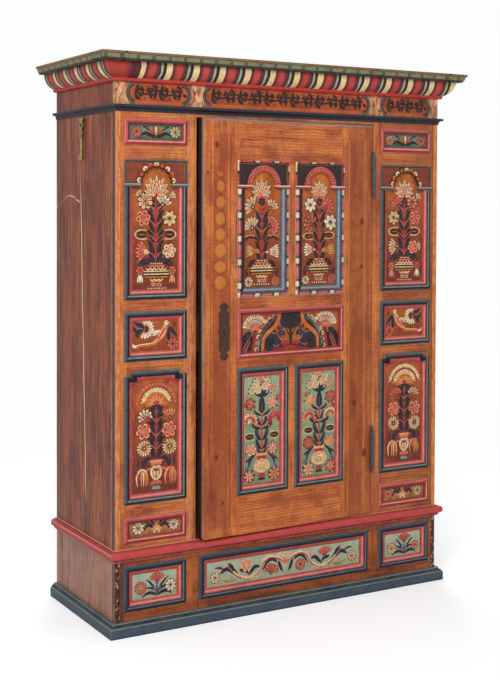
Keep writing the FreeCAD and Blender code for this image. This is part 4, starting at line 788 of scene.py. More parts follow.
def blocks(x, z):
    """Red, black and cream blocks along each side of the upper door frames."""
    upright = below(size_of(minus(z, 1.33)), 0.216)
    run = set_node("Mix", {"data_type": "FLOAT"}, i0=upright, i2=x, i3=z)[0]
    return striped(run, 0.08, 0.0085, [(0.0185, "3a2a2c", 0.0015), (0.027, "b5504a", 0.004),
        (0.069, "3a2a2c", 0.004)], "d8c39e")


def door_frames(x, z):
    depth, lit = inset(x, z, door_columns, door_rows)
    # painted light: a pale highlight line at the outer edge, a pink highlight inside it, and the inner part
    # near black in painted shade or slate grey on the lit members
    edged = over(blocks(x, z), "a79a90", below(depth, 0.0016))
    edged = layers(edged,
        ("e8b4a4", between(depth, 0.0045, 0.008, 0.001), 0.28),
        (over("231e21", "39434c", lit), step_up(depth, 0.0122, 0.0134)))
    wide, wide_lit = inset(x, z, ((-0.222, 0.233),), ((0.888, 1.058),))
    colour = over(two_sided(wide, wide_lit, red_tones), edged, above(z, 1.09))
    return over(colour, two_sided(depth, lit, slate_tones), below(z, 0.87))


def door_bevels(x, z):
    depth, lit = inset(x, z, door_columns, door_rows)
    # the upper door bevels are painted near black as shadow on the members in shade
    grey = over("2b2629", bevel_lines(depth, lit, ("5c6b7a", "a9b4b8", "2b2b33")), lit)
    return over(bevel_lines(depth, lit, red_bevel_tones), grey, above(z, 1.09))


dress(frame_coat("field_frames", field_frames), "left_field_mouldings", "right_field_mouldings")
dress(frame_coat("base_frames", base_frames), "base_panel_mouldings")
dress(frame_coat("door_frames", door_frames, on_door=True), "door_mouldings")
dress(frame_coat("field_bevels", field_bevels, worn="d58d80"), "left_field_bevels", "right_field_bevels")
dress(frame_coat("base_bevels", base_bevels, worn="d58d80"), "base_panel_bevels")
dress(frame_coat("door_bevels", door_bevels, on_door=True, worn="c08a80"), "door_bevels")


# ---------------- arches
# An arched panel has a thin spandrel board, a raised arch band, two imposts and a thin edge
# round it. The fields' are brown red with slate trim, the door's near black with red trim.

def arch_coat(name, centres, springing, inner, outer, top, colours, on_door=False):
    material = new_paint(name)
    spot = board_place(on_door)
    split = axes(spot)
    x, z = split["X"], split["Z"]
    side = 1
    for centre in centres:
        side = least(side, size_of(minus(x, centre)))
    rise = minus(z, springing)
    radius = root(plus(times(side, side), times(rise, rise)))
    colour = over(colours["spandrel"], colours["band"], between(radius, inner - 0.002, outer))
    flaked = step_up(cloud(spot, 0.02, 0.65, (1, 1, 0.6), 5), 0.46, 0.64)
    colour = over(colour, colours["flaked"], flaked, 0.4)
    trim = most(above(side, colours["half"] - 0.008), above(z, top - 0.008))
    rim = most(above(side, colours["half"] - 0.005), above(z, top - 0.005))
    edge = over("2b2022", blocks(x, z) if on_door else "4b5a60", rim)
    colour = over(colour, edge, trim)
    foot, head = colours["impost_lines"]
    impost = over(colours["impost"], head, step_up(z, springing - 0.0045, springing - 0.003))
    impost = over(impost, foot, step_up(z, springing - 0.008, springing - 0.01))
    colour = over(colour, impost, below(z, springing))
    brush_on(colour, 0.5, spot, edge=(0.003, 0.6), dust=0.3, worn="b09a86")
    return material


dress(arch_coat("field_arches", (-0.5135, 0.5135), 1.481, 0.057, 0.0685, 1.56,
    {"spandrel": "7c3d30", "band": "3a221e", "impost": "4e5a60", "half": 0.1155, "flaked": "a0562e",
    "impost_lines": ("1f2226", "8f9894")}), "left_field_arch", "right_field_arch")
dress(arch_coat("door_arches", (-0.115, 0.126), 1.48, 0.048, 0.068, 1.563,
    {"spandrel": "33282a", "band": "b04a47", "impost": "ad4845", "half": 0.107, "flaked": "54302a",
    "impost_lines": ("35181b", "d9bcae")}, on_door=True), "door_arches")


# ---------------- hinges, lock and key
# Blue-grey painted fiche hinges, a rusty wrought escutcheon and rim lock, a hand-made nail, and
# a cast brass key that hangs on the nail.

def metal_coat(name, code, other, worn, metallic, roughness, grain=0.006, relief=0.5):
    """Iron or brass, pitted and clouded with a second colour."""
    material = new_paint(name)
    spot = board_place()
    pits = cloud(spot, grain, 0.65, detail=5)
    colour = over(code, other, step_up(pits, 0.4, 0.62))
    coat(colour, pits, roughness, relief, spot, edge=(0.0012, 0.6), worn=worn, metallic=metallic, size=0.0006)
    return material


dress(metal_coat("dark_iron", "3c302c", "5c3d30", "7d6a5c", 0.55, (0.45, 0.75)), "escutcheon", "lock_case",
    "lock_bolt", "lock_keeper", "key_nail", "hinge_pins")
dress(metal_coat("hinge_iron", "4b5963", "36404a", "8d979c", 0.35, (0.4, 0.65)), "hinge_door_halves",
    "hinge_frame_halves")
dress(metal_coat("key_brass", "a8945c", "5f5638", "d8c890", 0.8, (0.28, 0.55), 0.004, 0.4), "side_key")


# ---------------- the painter's pots and strokes
# All ornament is laid over the dry grounds in opaque casein colours with round brushes, stroke
# over stroke. Each stroke here is a thin closed plate, and later ones lie on earlier ones.

pots = {}
for pot_name, code, other in (("cream", "ddc79c", "c9a877"), ("chalk", "e8dcc2", "d2bd96"),
        ("red", "b23a30", "952c28"), ("pink", "d67a66", "c25f50"), ("peach", "dc9a6c", "cb7f55"),
        ("orange", "c8702f", "b35a24"), ("ochre", "b97f38", "9c642b"), ("navy", "232836", "2f3542"),
        ("black", "28201f", "372a26"), ("brown", "5c2a22", "47211d"), ("maroon", "7d2c2a", "652323"),
        ("teal", "7c9e8c", "628674"), ("slate", "566373", "434e5c"), ("iron", "56605a", "414a46")):
    material = new_paint("pot_" + pot_name)
    spot = board_place()
    patchy = step_up(cloud(spot, 0.014, 0.6), 0.36, 0.66)
    tint = over(code, other, patchy)
    flaked = step_up(cloud(spot, 0.0032, 0.7), 0.58, 0.7)
    tint = over(tint, "7a4632", flaked, 0.45)
    brush_on(tint, 0.5, spot, roughness=(0.45, 0.65), relief=0.25)
    pots[pot_name] = material

# shapes along a stroke: (how far along, half width) with 1 as the full length and half width
SHAPES = {"drop": ((0, 0), (0.35, 0.5), (0.72, 1), (0.93, 0.72), (1, 0)),
    "leaf": ((0, 0), (0.28, 0.85), (0.55, 1), (0.8, 0.55), (1, 0)),
    "point": ((0, 0), (0.12, 0.85), (0.45, 1), (1, 0)), "line": ((0, 0), (0.06, 1), (0.94, 1), (1, 0))}
strokes, ply, plies = [], [0], 40
panel_face, field_arch_face, door_arch_face, frieze_face = -209.5, -219.5, -219.4, -215.5


def lay(outline, faces, pot, tier):
    """Put a plate on the board, a hair above the one before it; after some plies the hairs start again."""
    strokes.append((outline, faces, pot, tier, ply[0] % plies))
    ply[0] += 1


def room_for(count):
    """Start the plies again unless the next few plates fit in, so that none of them slips under another."""
    if ply[0] % plies + count > plies:
        ply[0] += plies - ply[0] % plies


def along(path, widths, pot, tier):
    """A ribbon stroke: points with half widths, pointed at both ends. Millimetres on the board."""
    left, right = [], []
    for number, (x, z) in enumerate(path[1:-1], 1):
        before, after = path[number - 1], path[number + 1]
        run = math.hypot(after[0] - before[0], after[1] - before[1]) or 1
        across = ((before[1] - after[1]) / run, (after[0] - before[0]) / run)
        half = widths[number]
        left.append((x + across[0] * half, z + across[1] * half))
        right.append((x - across[0] * half, z - across[1] * half))
    outline = [path[0]] + left + [path[-1]] + right[::-1]
    count, many = len(left), len(outline)
    faces = [(0, 1, many - 1)]
    faces += [(step, step + 1, many - step - 1, many - step) for step in range(1, count)]
    faces.append((count, count + 1, count + 2))
    lay(outline, faces, pot, tier)


def stroke(pot, x, z, angle, length, half, tier=1, shape="leaf", bend=0):
    """One brush stroke from a point, in degrees from level; it turns by bend as it goes."""
    path, spot, last = [], (x, z), 0
    for far, wide in SHAPES[shape]:
        heading = math.radians(angle + bend * (far + last) / 2)
        spot = (spot[0] + (far - last) * length * math.cos(heading),
            spot[1] + (far - last) * length * math.sin(heading))
        last = far
        path.append(spot)
    along(path, [half * wide for far, wide in SHAPES[shape]], pot, tier)


def dot(pot, x, z, radius, tier=3, sides=9):
    """A dab of the brush's tip; each one is turned a little further."""
    turn = 0.4 + 0.1 * len(strokes)
    outline = [(x + radius * math.cos(turn + 2 * math.pi * step / sides),
        z + radius * math.sin(turn + 2 * math.pi * step / sides)) for step in range(sides)]
    lay(outline, [tuple(range(sides))], pot, tier)


def ring(pot, x, z, count, inner, outer, half, start=90, spread=360, tier=1, shape="leaf"):
    """Strokes round a centre, or fanned over part of a turn about the start direction."""
    for step in range(count):
        turn = start + (spread * step / count if spread >= 360 else spread * (step / (count - 1) - 0.5))
        spoke = math.radians(turn)
        stroke(pot, x + inner * math.cos(spoke), z + inner * math.sin(spoke), turn, outer - inner, half, tier,
            shape)


def bead_row(pot, points, radius, tier=3):
    """A small dab at each point."""
    for x, z in points:
        dot(pot, x, z, radius, tier, 6)


def arc_points(x, z, radius, first, last, count, squash=1):
    """Points spread evenly over an arc, in degrees."""
    turns = [math.radians(first + (last - first) * step / (count - 1)) for step in range(count)]
    return [(x + radius * math.cos(turn), z + radius * squash * math.sin(turn)) for turn in turns]


def level_points(low, high, z, count):
    """Points spread evenly over a level line."""
    return [(low + (high - low) * step / (count - 1), z) for step in range(count)]


def arc_stroke(pot, x, z, radius, first, last, half, tier=1, squash=1, count=14):
    """A stroke of even width over an arc, in degrees."""
    along(arc_points(x, z, radius, first, last, count, squash), [half] * count, pot, tier)


def bar(pot, low, high, z, half, tier=1):
    """A level stroke of even width."""
    along([(low, z), (low + half / 2, z), (high - half / 2, z), (high, z)], [half] * 4, pot, tier)


def curve(pot, points, half, tier=1, kind="leaf"):
    """A smooth stroke through points: thin runs out to nothing, leaf swells halfway, even stays the same."""
    path = []
    ends = [points[0]] + list(points) + [points[-1]]
    for a, b, c, d in zip(ends, ends[1:], ends[2:], ends[3:]):
        for step in range(4):
            t = step / 4
            path.append(tuple(0.5 * (2 * q + (r - p) * t + (2 * p - 5 * q + 4 * r - s) * t * t
                + (3 * q - p - 3 * r + s) * t ** 3) for p, q, r, s in zip(a, b, c, d)))
    path.append(points[-1])
    shares = [step / (len(path) - 1) for step in range(len(path))]
    swell = {"thin": lambda t: 1 - 0.7 * t,
        "leaf": lambda t: math.sin(math.pi * t ** 0.85) ** 0.8 if 0 < t < 1 else 0, "even": lambda t: 1}[kind]
    along(path, [half * swell(t) for t in shares], pot, tier)


def sided(way, middle, *curves):
    """Curves to the right of a middle line, or with way -1 mirrored to its left: rows as for curve."""
    for pot, points, half, *rest in curves:
        curve(pot, [(middle + way * across, z) for across, z in points], half, *rest)


def both(middle, *curves):
    """Curves painted on the left of a middle and again on the right."""
    for way in (1, -1):
        sided(way, middle, *curves)


def plant(x, blooms):
    """Blooms about a stem: (which, how far across, height, and what else it takes)."""
    for kind, across, z, *rest in blooms:
        kind(x + across, z, *rest)


def finish_painting(name, body="case", board_y=panel_face):
    """Turn the collected strokes into one piece on a board's face, and start afresh."""
    skirt, tier_lift, ply_lift = 0.25, 0.11, 0.0026
    used = sorted({pot for outline, faces, pot, tier, rank in strokes})
    points, plates, pot_numbers = [], [], []
    for outline, faces, pot, tier, rank in strokes:
        front = board_y - skirt - tier_lift * tier - ply_lift * rank
        first, many = len(points), len(outline)
        if sum(a[0] * b[1] - b[0] * a[1] for a, b in zip(outline, outline[1:] + outline[:1])) < 0:
            faces = [face[::-1] for face in faces]
        for y in (front, board_y + 0.3):
            points += [(x / 1000, y / 1000, z / 1000) for x, z in outline]
        made = [tuple(first + corner for corner in face) for face in faces]
        made += [tuple(first + many + corner for corner in face[::-1]) for face in faces]
        for corner in range(many):
            after = (corner + 1) % many
            made.append((first + corner, first + many + corner, first + many + after, first + after))
        plates += made
        pot_numbers += [used.index(pot)] * len(made)
    mesh = bpy.data.meshes.new(name)
    mesh.from_pydata(points, [], plates)
    shape = bmesh.new()
    shape.from_mesh(mesh)
    bmesh.ops.recalc_face_normals(shape, faces=shape.faces)
    shape.to_mesh(mesh)
    shape.free()
    for pot in used:
        mesh.materials.append(pots[pot])
    mesh.polygons.foreach_set("material_index", pot_numbers)
    if body == "door":
        mesh.transform(Matrix.Translation(hinge_axis) @ Matrix.Rotation(door_angle, 4,
            "Z") @ Matrix.Translation(-hinge_axis))
    piece = bpy.data.objects.new(name, mesh)
    bpy.context.scene.collection.objects.link(piece)
    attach(piece, body)
    strokes.clear()
    ply[0] = 0


# ---------------- flowers of the arched field panels
# A tall flowering tree grows from a low banded vase: a lotus at the top, paired blooms and buds
# on both sides of a red stem with dark leaves, and bells that hang beside the vase.

def petal(x, z, angle, inner, outer, half, edge, fill, mark=None, shape="drop", tier=1):
    """One petal: a dark edge, the petal on it, and a stroke along its middle."""
    spoke, long = math.radians(angle), outer - inner
    at_x, at_z = x + inner * math.cos(spoke), z + inner * math.sin(spoke)
    stroke(edge, at_x, at_z, angle, long + half * 0.35, half * 1.38, tier, shape)
    stroke(fill, at_x, at_z, angle, long, half, tier, shape)
    if mark:
        stroke(mark, at_x + long * 0.3 * math.cos(spoke), at_z + long * 0.3 * math.sin(spoke), angle,
            long * 0.5, half * 0.34, tier)


def bloom(x, z, count, inner, outer, half, edge, fill, mark=None, start=90, spread=360, shape="drop", tier=1,
        crest=0):
    """Petals round a centre, or fanned about a direction, the middle ones last and longer by the crest."""
    room_for(count * (3 if mark else 2))
    turns = [spread * step / count if spread >= 360 else spread * (step / (count - 1) - 0.5) for step
        in range(count)]
    for turn in sorted(turns, key=lambda turn: -abs(turn)):
        reach = outer * (1 - crest + crest * math.cos(math.radians(turn)))
        petal(x, z, start + turn, inner, reach, half, edge, fill, mark, shape, tier)


def rosette(x, z, r, outer, inner, heart, petals=8):
    """An open flower seen from the front, with beads between its petals."""
    wide = 0.66 * r * math.sin(math.pi / petals)
    bloom(x, z, petals, r * 0.22, r, wide, "brown", outer, inner, 90 + r,
        shape="drop" if petals > 7 else "leaf")
    bead_row("brown", arc_points(x, z, r, 90 + r + 180 / petals, 450 + r + 180 / petals, petals + 1),
        r * 0.075, 2)
    dot("brown", x, z, r * 0.34, 2)
    bead_row(outer, arc_points(x, z, r * 0.24, 0, 300, 6), r * 0.07)
    dot(heart, x, z, r * 0.15)


def daisy(x, z, r, heart):
    """Fifteen thin pale petals about a round heart."""
    bloom(x, z, 15, r * 0.24, r, r * 0.115, "maroon", "cream")
    dot("maroon", x, z, r * 0.32, 2)
    dot(heart, x, z, r * 0.22)
    dot("cream", x, z, r * 0.09, 4)


def rose(x, z, r, outer="pink", inner="red", light="cream"):
    """A full bloom: six round lobes, each with a darker eye, about a dotted heart."""
    dot("brown", x, z, r * 0.86, 0, 12)
    for step, (lobe_x, lobe_z) in enumerate(arc_points(x, z, r * 0.64, 70, 370, 6)):
        turn = 70 + step * 60
        dot(outer, lobe_x, lobe_z, r * 0.36, 1)
        arc_stroke(light, lobe_x, lobe_z, r * 0.26, turn - 80, turn + 70, r * 0.055, 2, count=6)
        dot(inner, lobe_x, lobe_z, r * 0.15, 2, 7)
    dot(inner, x, z, r * 0.34, 2)
    bead_row(light, arc_points(x, z, r * 0.22, 20, 320, 6), r * 0.075)
    dot(outer, x, z, r * 0.11)


def fan_bloom(x, z, r, angle, first, second, count, spread, cup="brown"):
    """A tulip or carnation seen from the side, its striped petals fanned out of a dark cup."""
    wide = min(0.14, 0.5 * math.sin(math.radians(spread / (count - 1)) / 2) + 0.02) * r
    ring("brown", x, z, count - 1, r * 0.3, r * 0.98, wide * 0.8, angle, spread * (count - 2) / (count - 1),
        0)
    bloom(x, z, count, r * 0.18, r, wide, "maroon" if second != "maroon" else "brown", first, second, angle,
        spread, crest=0.12)
    ring(cup, x, z, 3, -r * 0.12, r * 0.36, r * 0.12, angle, spread * 0.6, 3)
    ring(first, x, z, 2, 0, r * 0.24, r * 0.035, angle, spread * 0.3, 4)


def lotus(x, z, r):
    """The crowning bloom: tiers of pointed pale petals with pink hearts, the tallest in the middle."""
    for tier, (far, count, spread, half) in enumerate(((1, 9, 200, 0.105), (0.8, 8, 186, 0.098),
            (0.6, 7, 170, 0.092), (0.42, 4, 110, 0.088)), 1):
        bloom(x, z, count, r * 0.08, r * far, r * half, "maroon" if tier < 3 else "red",
            "cream" if tier != 3 else "chalk", "red" if tier > 1 else "pink", spread=spread, shape="leaf",
            tier=tier, crest=0.36)
    ring("pink", x, z, 5, r * 0.02, r * 0.26, r * 0.055, spread=240, tier=5)


def leaf_pairs(pot, x, heights, length, half, angle, bend, tier=0):
    """Leaves in pairs on both sides of a stem, at each height."""
    for z in heights:
        stroke(pot, x, z, angle, length, half, tier, bend=bend)
        stroke(pot, x, z, 180 - angle, length, half, tier, bend=-bend)


def leafy_stem(x, low, high, heights, length, half, twigs=()):
    """A red stem between overlapping dark leaves, with thin pale twigs to the blooms."""
    stroke("red", x, low, 90, high - low, 2.6, 3, "line")
    for z in heights:
        both(x, ("black", ((1.5, z), (length * 0.3, z + length * 0.34), (length * 0.44, z + length * 0.72),
            (length * 0.7, z + length)), half * 1.2, 0),
            ("navy", ((2, z + 3), (length * 0.26, z + length * 0.34), (length * 0.38, z + length * 0.66)),
            half * 0.72))
    for z, across, rise in twigs:
        both(x, ("pink", ((0, z), (across * 0.4, z + rise * 0.7), (across, z + rise)), 1.3, 2, "thin"),
            ("black", ((across * 0.5, z + rise * 0.8), (across, z + rise)), 3))


def seed_bud(x, z, width, height, side):
    """A dark bud lying outward from the stem, with a pale beaded edge closed at its outer end."""
    for way, half in ((1, 0.15), (-1, 0.15), (0, 0.19)):
        curve("black" if way else "brown", [(x - side * width * 0.42, z + way * height * 0.1),
            (x, z + way * height * 0.24), (x + side * width * 0.36, z + way * height * 0.12)], height * half)
    curve("orange", [(x - side * width * 0.3, z), (x + side * width * 0.26, z)], height * 0.05, 2)
    rim = [(-0.36, 0.47), (-0.22, 0.5), (-0.07, 0.51), (0.08, 0.5), (0.23, 0.45), (0.37, 0.34), (0.46, 0.17)]
    for across, rise in rim + [(0.49, 0)] + [(across, -rise) for across, rise in rim[::-1]]:
        dot("cream", x + side * width * across, z + height * rise, height * 0.098, sides=6)


def bell(x, z, width, height, light):
    """A flower hanging mouth down: a round head over a long pale throat."""
    bloom(x, z + height * 0.06, 3, 0, height * 0.58, width * 0.15, "maroon", light, start=-90, spread=34,
        shape="leaf")
    dot("maroon", x, z + height * 0.22, width * 0.52, 2, 12)
    bloom(x, z + height * 0.22, 6, width * 0.08, width * 0.48, width * 0.13, "maroon",
        "pink" if light == "chalk" else light, "red", spread=300, tier=3)
    dot("red", x, z + height * 0.22, width * 0.13, 4)


def zigzag(pot, low, high, z, rise, count, half, tier):
    """A row of short strokes that lean left and right by turns."""
    step = (high - low) / count
    for number in range(count):
        up = 1 if number % 2 else -1
        curve(pot, [(low + step * number, z - up * rise / 2), (low + step * (number + 1), z + up * rise / 2)],
            half, tier, "even")


def banded_vase(x, z, width):
    """A low dome with dotted and zigzag rows over dark bands, on a tapering dotted foot."""
    half = width / 2
    along([(x, z + 47), (x, z + 45), (x, z + 32), (x, z + 19), (x, z + 17)],
        [0, half * 0.52, half * 0.8, half, 0], "maroon", 0)
    bead_row("cream", level_points(x - half * 0.42, x + half * 0.42, z + 42, 6), 2.7, 2)
    zigzag("peach", x - half * 0.62, x + half * 0.62, z + 33.5, 8, 8, 1.7, 1)
    zigzag("cream", x - half * 0.82, x + half * 0.82, z + 23.5, 9, 10, 2, 2)
    for rise, share, pot in ((16.5, 1, "cream"), (11.5, 0.98, "black"), (7, 1, "cream"), (2, 0.96, "black"),
            (-2.5, 0.92, "ochre")):
        bar(pot, x - half * share, x + half * share, z + rise, 1.8)
    along([(x, z - 5), (x, z - 7), (x, z - 20), (x, z - 33), (x, z - 43), (x, z - 45)],
        [0, half * 0.62, half * 0.42, half * 0.5, half * 0.72, 0], "maroon", 0)
    zigzag("cream", x - half * 0.52, x + half * 0.52, z - 13, 9, 6, 1.9, 2)
    zigzag("peach", x - half * 0.46, x + half * 0.46, z - 14, 8, 4, 1.5, 1)
    for side in (-1, 1):
        ring("cream", x + side * half * 0.26, z - 27, 5, 1, 8, 2, tier=2, shape="drop")
    ring("peach", x, z - 27, 6, 1, 7, 1.6, tier=2, shape="drop")
    bead_row("cream", level_points(x - half * 0.66, x + half * 0.66, z - 40, 7), 3, 2)


def field_tree(side, blooms):
    x = side * 511.5
    leafy_stem(x, 1216, 1440, (1222, 1252, 1286, 1320, 1352), 44, 6.4,
        ((1236, 44, 24), (1290, 40, 26), (1336, 44, 30), (1380, 40, 34)))
    leaf_pairs("navy", x, (1386, 1404), 30, 5.2, 24, 30)
    ring("navy", x, 1434, 3, -16, 26, 7, spread=56)
    ring("black", x, 1420, 2, -8, 20, 5, spread=120)
    for way in (1, -1):
        for (first, second, third), half in ((((12, 1222), (38, 1234), (58, 1222)), 6),
                (((34, 1228), (56, 1220), (62, 1206)), 5), (((20, 1220), (40, 1218), (50, 1208)), 4.6)):
            sided(way, x, ("navy" if half > 4.8 else "black", (first, second, third), half, 0))
        sided(way, x, ("maroon", ((30, 1234), (52, 1236), (66, 1226)), 3.2, 0))
        ring("orange", x + way * 30, 1478, 5, 0, 20, 4.6, 90 + way * 20, 130, 0)
    plant(x, blooms)


field_tree(-1, ((lotus, 3, 1446, 66), (rosette, -38, 1424, 27, "cream", "pink", "red"),
    (fan_bloom, -50, 1440, 24, 140, "cream", "brown", 4, 60),
    (fan_bloom, 24, 1408, 38, 70, "chalk", "red", 5, 100),
    (fan_bloom, 46, 1436, 30, 24, "chalk", "red", 3, 40), (rose, -46, 1368, 27, "pink", "maroon", "peach"),
    (rosette, 51, 1367, 27, "cream", "peach", "black", 7), (seed_bud, -52, 1314, 46, 30, -1),
    (seed_bud, 52, 1314, 46, 30, 1), (fan_bloom, -28, 1256, 46, 172, "pink", "red", 6, 90, "cream"),
    (fan_bloom, -36, 1260, 26, 176, "chalk", "red", 3, 60, "maroon"),
    (rose, 50, 1259, 25, "cream", "red", "chalk"), (banded_vase, 3, 1176, 92),
    (bell, -57, 1183, 30, 58, "chalk"), (bell, 61, 1181, 28, 60, "peach")))
finish_painting("left_arched_flowers")
field_tree(1, ((lotus, 1, 1448, 62), (fan_bloom, -26, 1408, 38, 118, "pink", "red", 6, 110),
    (rosette, 37, 1426, 25, "pink", "cream", "red"), (fan_bloom, 54, 1434, 26, 52, "chalk", "brown", 3, 50),
    (rosette, -48, 1368, 27, "cream", "orange", "brown", 7), (rose, 49, 1368, 26, "pink", "maroon", "peach"),
    (seed_bud, -47, 1317, 46, 28, -1), (seed_bud, 49, 1317, 46, 28, 1),
    (fan_bloom, -26, 1262, 46, 180, "cream", "orange", 6, 80), (rose, 42, 1259, 25),
    (fan_bloom, 54, 1260, 24, 8, "cream", "brown", 4, 70), (banded_vase, 3, 1178, 88),
    (bell, -57, 1177, 28, 58, "peach"), (bell, 61, 1177, 28, 58, "chalk")))
finish_painting("right_arched_flowers")

# Half-round petals stand round the arch band, pale and red by turns with black between them.
springing, petal_reach = 1481, 62
for side in (-1, 1):
    for step in range(9):
        turn = 10 + 20 * step
        spoke = math.radians(turn)
        spot_x = side * 513.5 + petal_reach * math.cos(spoke)
        spot_z = springing + petal_reach * math.sin(spoke)
        pot = ("cream", "orange", "chalk", "red")[(step * (3 if side > 0 else 1)) % 4]
        dot("black", spot_x, spot_z, 10.6, 1, 10)
        dot("orange" if pot != "orange" else "red", spot_x, spot_z, 6.2, 2)
        arc_stroke(pot, spot_x, spot_z, 7, turn - 118, turn + 118, 2.7, 3, count=9)
        stroke("maroon", spot_x - 7 * math.cos(spoke), spot_z - 7 * math.sin(spoke), turn, 9, 1.6, 4)
    finish_painting(("left" if side < 0 else "right") + "_arch_petals", "case", field_arch_face)


# ---------------- flowers of the tall field panels
# Under a domed bloom stand a carnation, roses and daisies in pairs. The tree grows from a
# heart-shaped vase, and two striped tulips hang beside it.

def heart_vase(x):
    """A round vase with curled handles and a pale heart on it."""
    bar("peach", x - 24, x + 24, 563, 3.6, 2)
    bar("pink", x - 20, x + 20, 555, 4.4)
    bar("red", x - 16, x + 16, 547, 4.4)
    dot("maroon", x, 521, 27, 0, 18)
    for way in (1, -1):
        arc_stroke("pink", x + way * 23, 524, 15, 90 + way * 60, 90 - way * 150, 3.2)
        sided(way, x, ("cream", ((0, 500), (14, 513), (18, 531), (9, 545), (0, 538)), 4.2, 2, "even"))
        stroke("cream", x + way * 3, 508, 90 - way * 14, 28, 3.4, 2)
        stroke("brown", x + way * 8, 512, 90 - way * 18, 22, 1.5, 3)
    dot("peach", x, 524, 6)
    bar("pink", x - 17, x + 17, 495, 2.8)
    bead_row("pink", level_points(x - 17, x + 17, 489, 5), 3.6, 2)
    bar("red", x - 11, x + 11, 483, 2.8)
    bar("teal", x - 16, x + 16, 474, 5)


def tall_tree(x, blooms):
    leafy_stem(x, 570, 748, (572, 598, 626, 654, 682, 706), 38, 6.4,
        ((600, 42, 22), (644, 44, 24), (690, 36, 22)))
    leaf_pairs("black", x, (632, 684), 42, 4.2, 8, 24)
    ring("navy", x, 738, 5, -6, 24, 8, spread=170)
    for way in (1, -1):
        sided(way, x, ("navy", ((14, 572), (34, 572), (43, 558), (46, 540)), 6.6, 0))
        for far in (50, 66):
            stroke("maroon", x + way * far, 578, -90, 42, 1.8, 0, "line")
            stroke("navy", x + way * (far + 1), 572, -90, 30, 4.2, 0)
    plant(x, blooms)
    heart_vase(x)


def hanging_tulip(x, z, height, light, warm, deep):
    """A striped tulip that hangs mouth down, its stripes side by side."""
    ring("maroon", x, z + height * 0.42, 5, 0, height * 0.78, 6, -90, 52, 0)
    for way, pot in ((-1, light), (-0.55, deep), (-0.12, warm), (0.3, light), (0.7, "ochre"), (1, warm)):
        sided(way, x, (pot, ((5, z + height * 0.45), (17, z + height * 0.3), (20, z),
            (16, z - height * 0.42)), 3, 2))
    arc_stroke(light, x, z + height * 0.3, 17, 25, 155, 2.4, 3, 0.8)


def domed_bloom(x, z, rings):
    """Half rings of petals over a warm heart, widest first: (pot, radius, half width)."""
    ring("orange", x, z, 9, 4, 44, 8, spread=170, tier=0, shape="drop")
    ring("peach", x, z, 7, 4, 34, 3.2, spread=150)
    for pot, radius, half in rings:
        if half < 5:
            bead_row(pot, arc_points(x, z, radius, 6, 174, 17), half, 1)
        else:
            arc_stroke(pot, x, z, radius, 8, 172, half, 2)
            bead_row(pot, arc_points(x, z, radius + half, 10, 170, 14), half * 0.42, 2)
    ring("red", x, z, 3, 0, 16, 4, spread=90, tier=3, shape="drop")


tall_tree(-508, ((domed_bloom, 0, 750, (("pink", 70, 4.6), ("red", 61, 3.6), ("cream", 49, 6.5))),
    (fan_bloom, -40, 708, 30, 105, "chalk", "red", 7, 190),
    (fan_bloom, 50, 700, 36, 92, "peach", "red", 5, 70), (rose, -47, 664, 27), (rose, 48, 665, 27),
    (daisy, -44, 608, 27, "red"), (daisy, 50, 608, 27, "ochre"),
    (hanging_tulip, -52, 506, 60, "cream", "peach", "red"),
    (hanging_tulip, 53, 506, 60, "peach", "pink", "red")))
for number in range(5):
    dot("red", -530 + number * 11, 824, 3.4, 2)
finish_painting("left_tall_flowers")
tall_tree(518, ((domed_bloom, 0, 750, (("cream", 68, 6), ("red", 59, 5), ("cream", 45, 7))),
    (fan_bloom, -38, 706, 34, 96, "pink", "red", 6, 120),
    (fan_bloom, 40, 706, 30, 80, "cream", "red", 6, 130), (rose, -49, 660, 26),
    (rose, 47, 658, 26, "pink", "maroon", "cream"), (daisy, -49, 607, 26, "brown"),
    (daisy, 47, 603, 27, "brown"), (hanging_tulip, -54, 508, 60, "cream", "peach", "red"),
    (hanging_tulip, 46, 510, 56, "peach", "ochre", "maroon")))
ring("teal", 518, 750, 10, 40, 49, 1.7, spread=150, tier=4)
finish_painting("right_tall_flowers")


# ---------------- birds of the square field panels
# A long-tailed bird looks toward a half-open aster, between dark leaves and a small rosette.
# The two panels mirror each other.

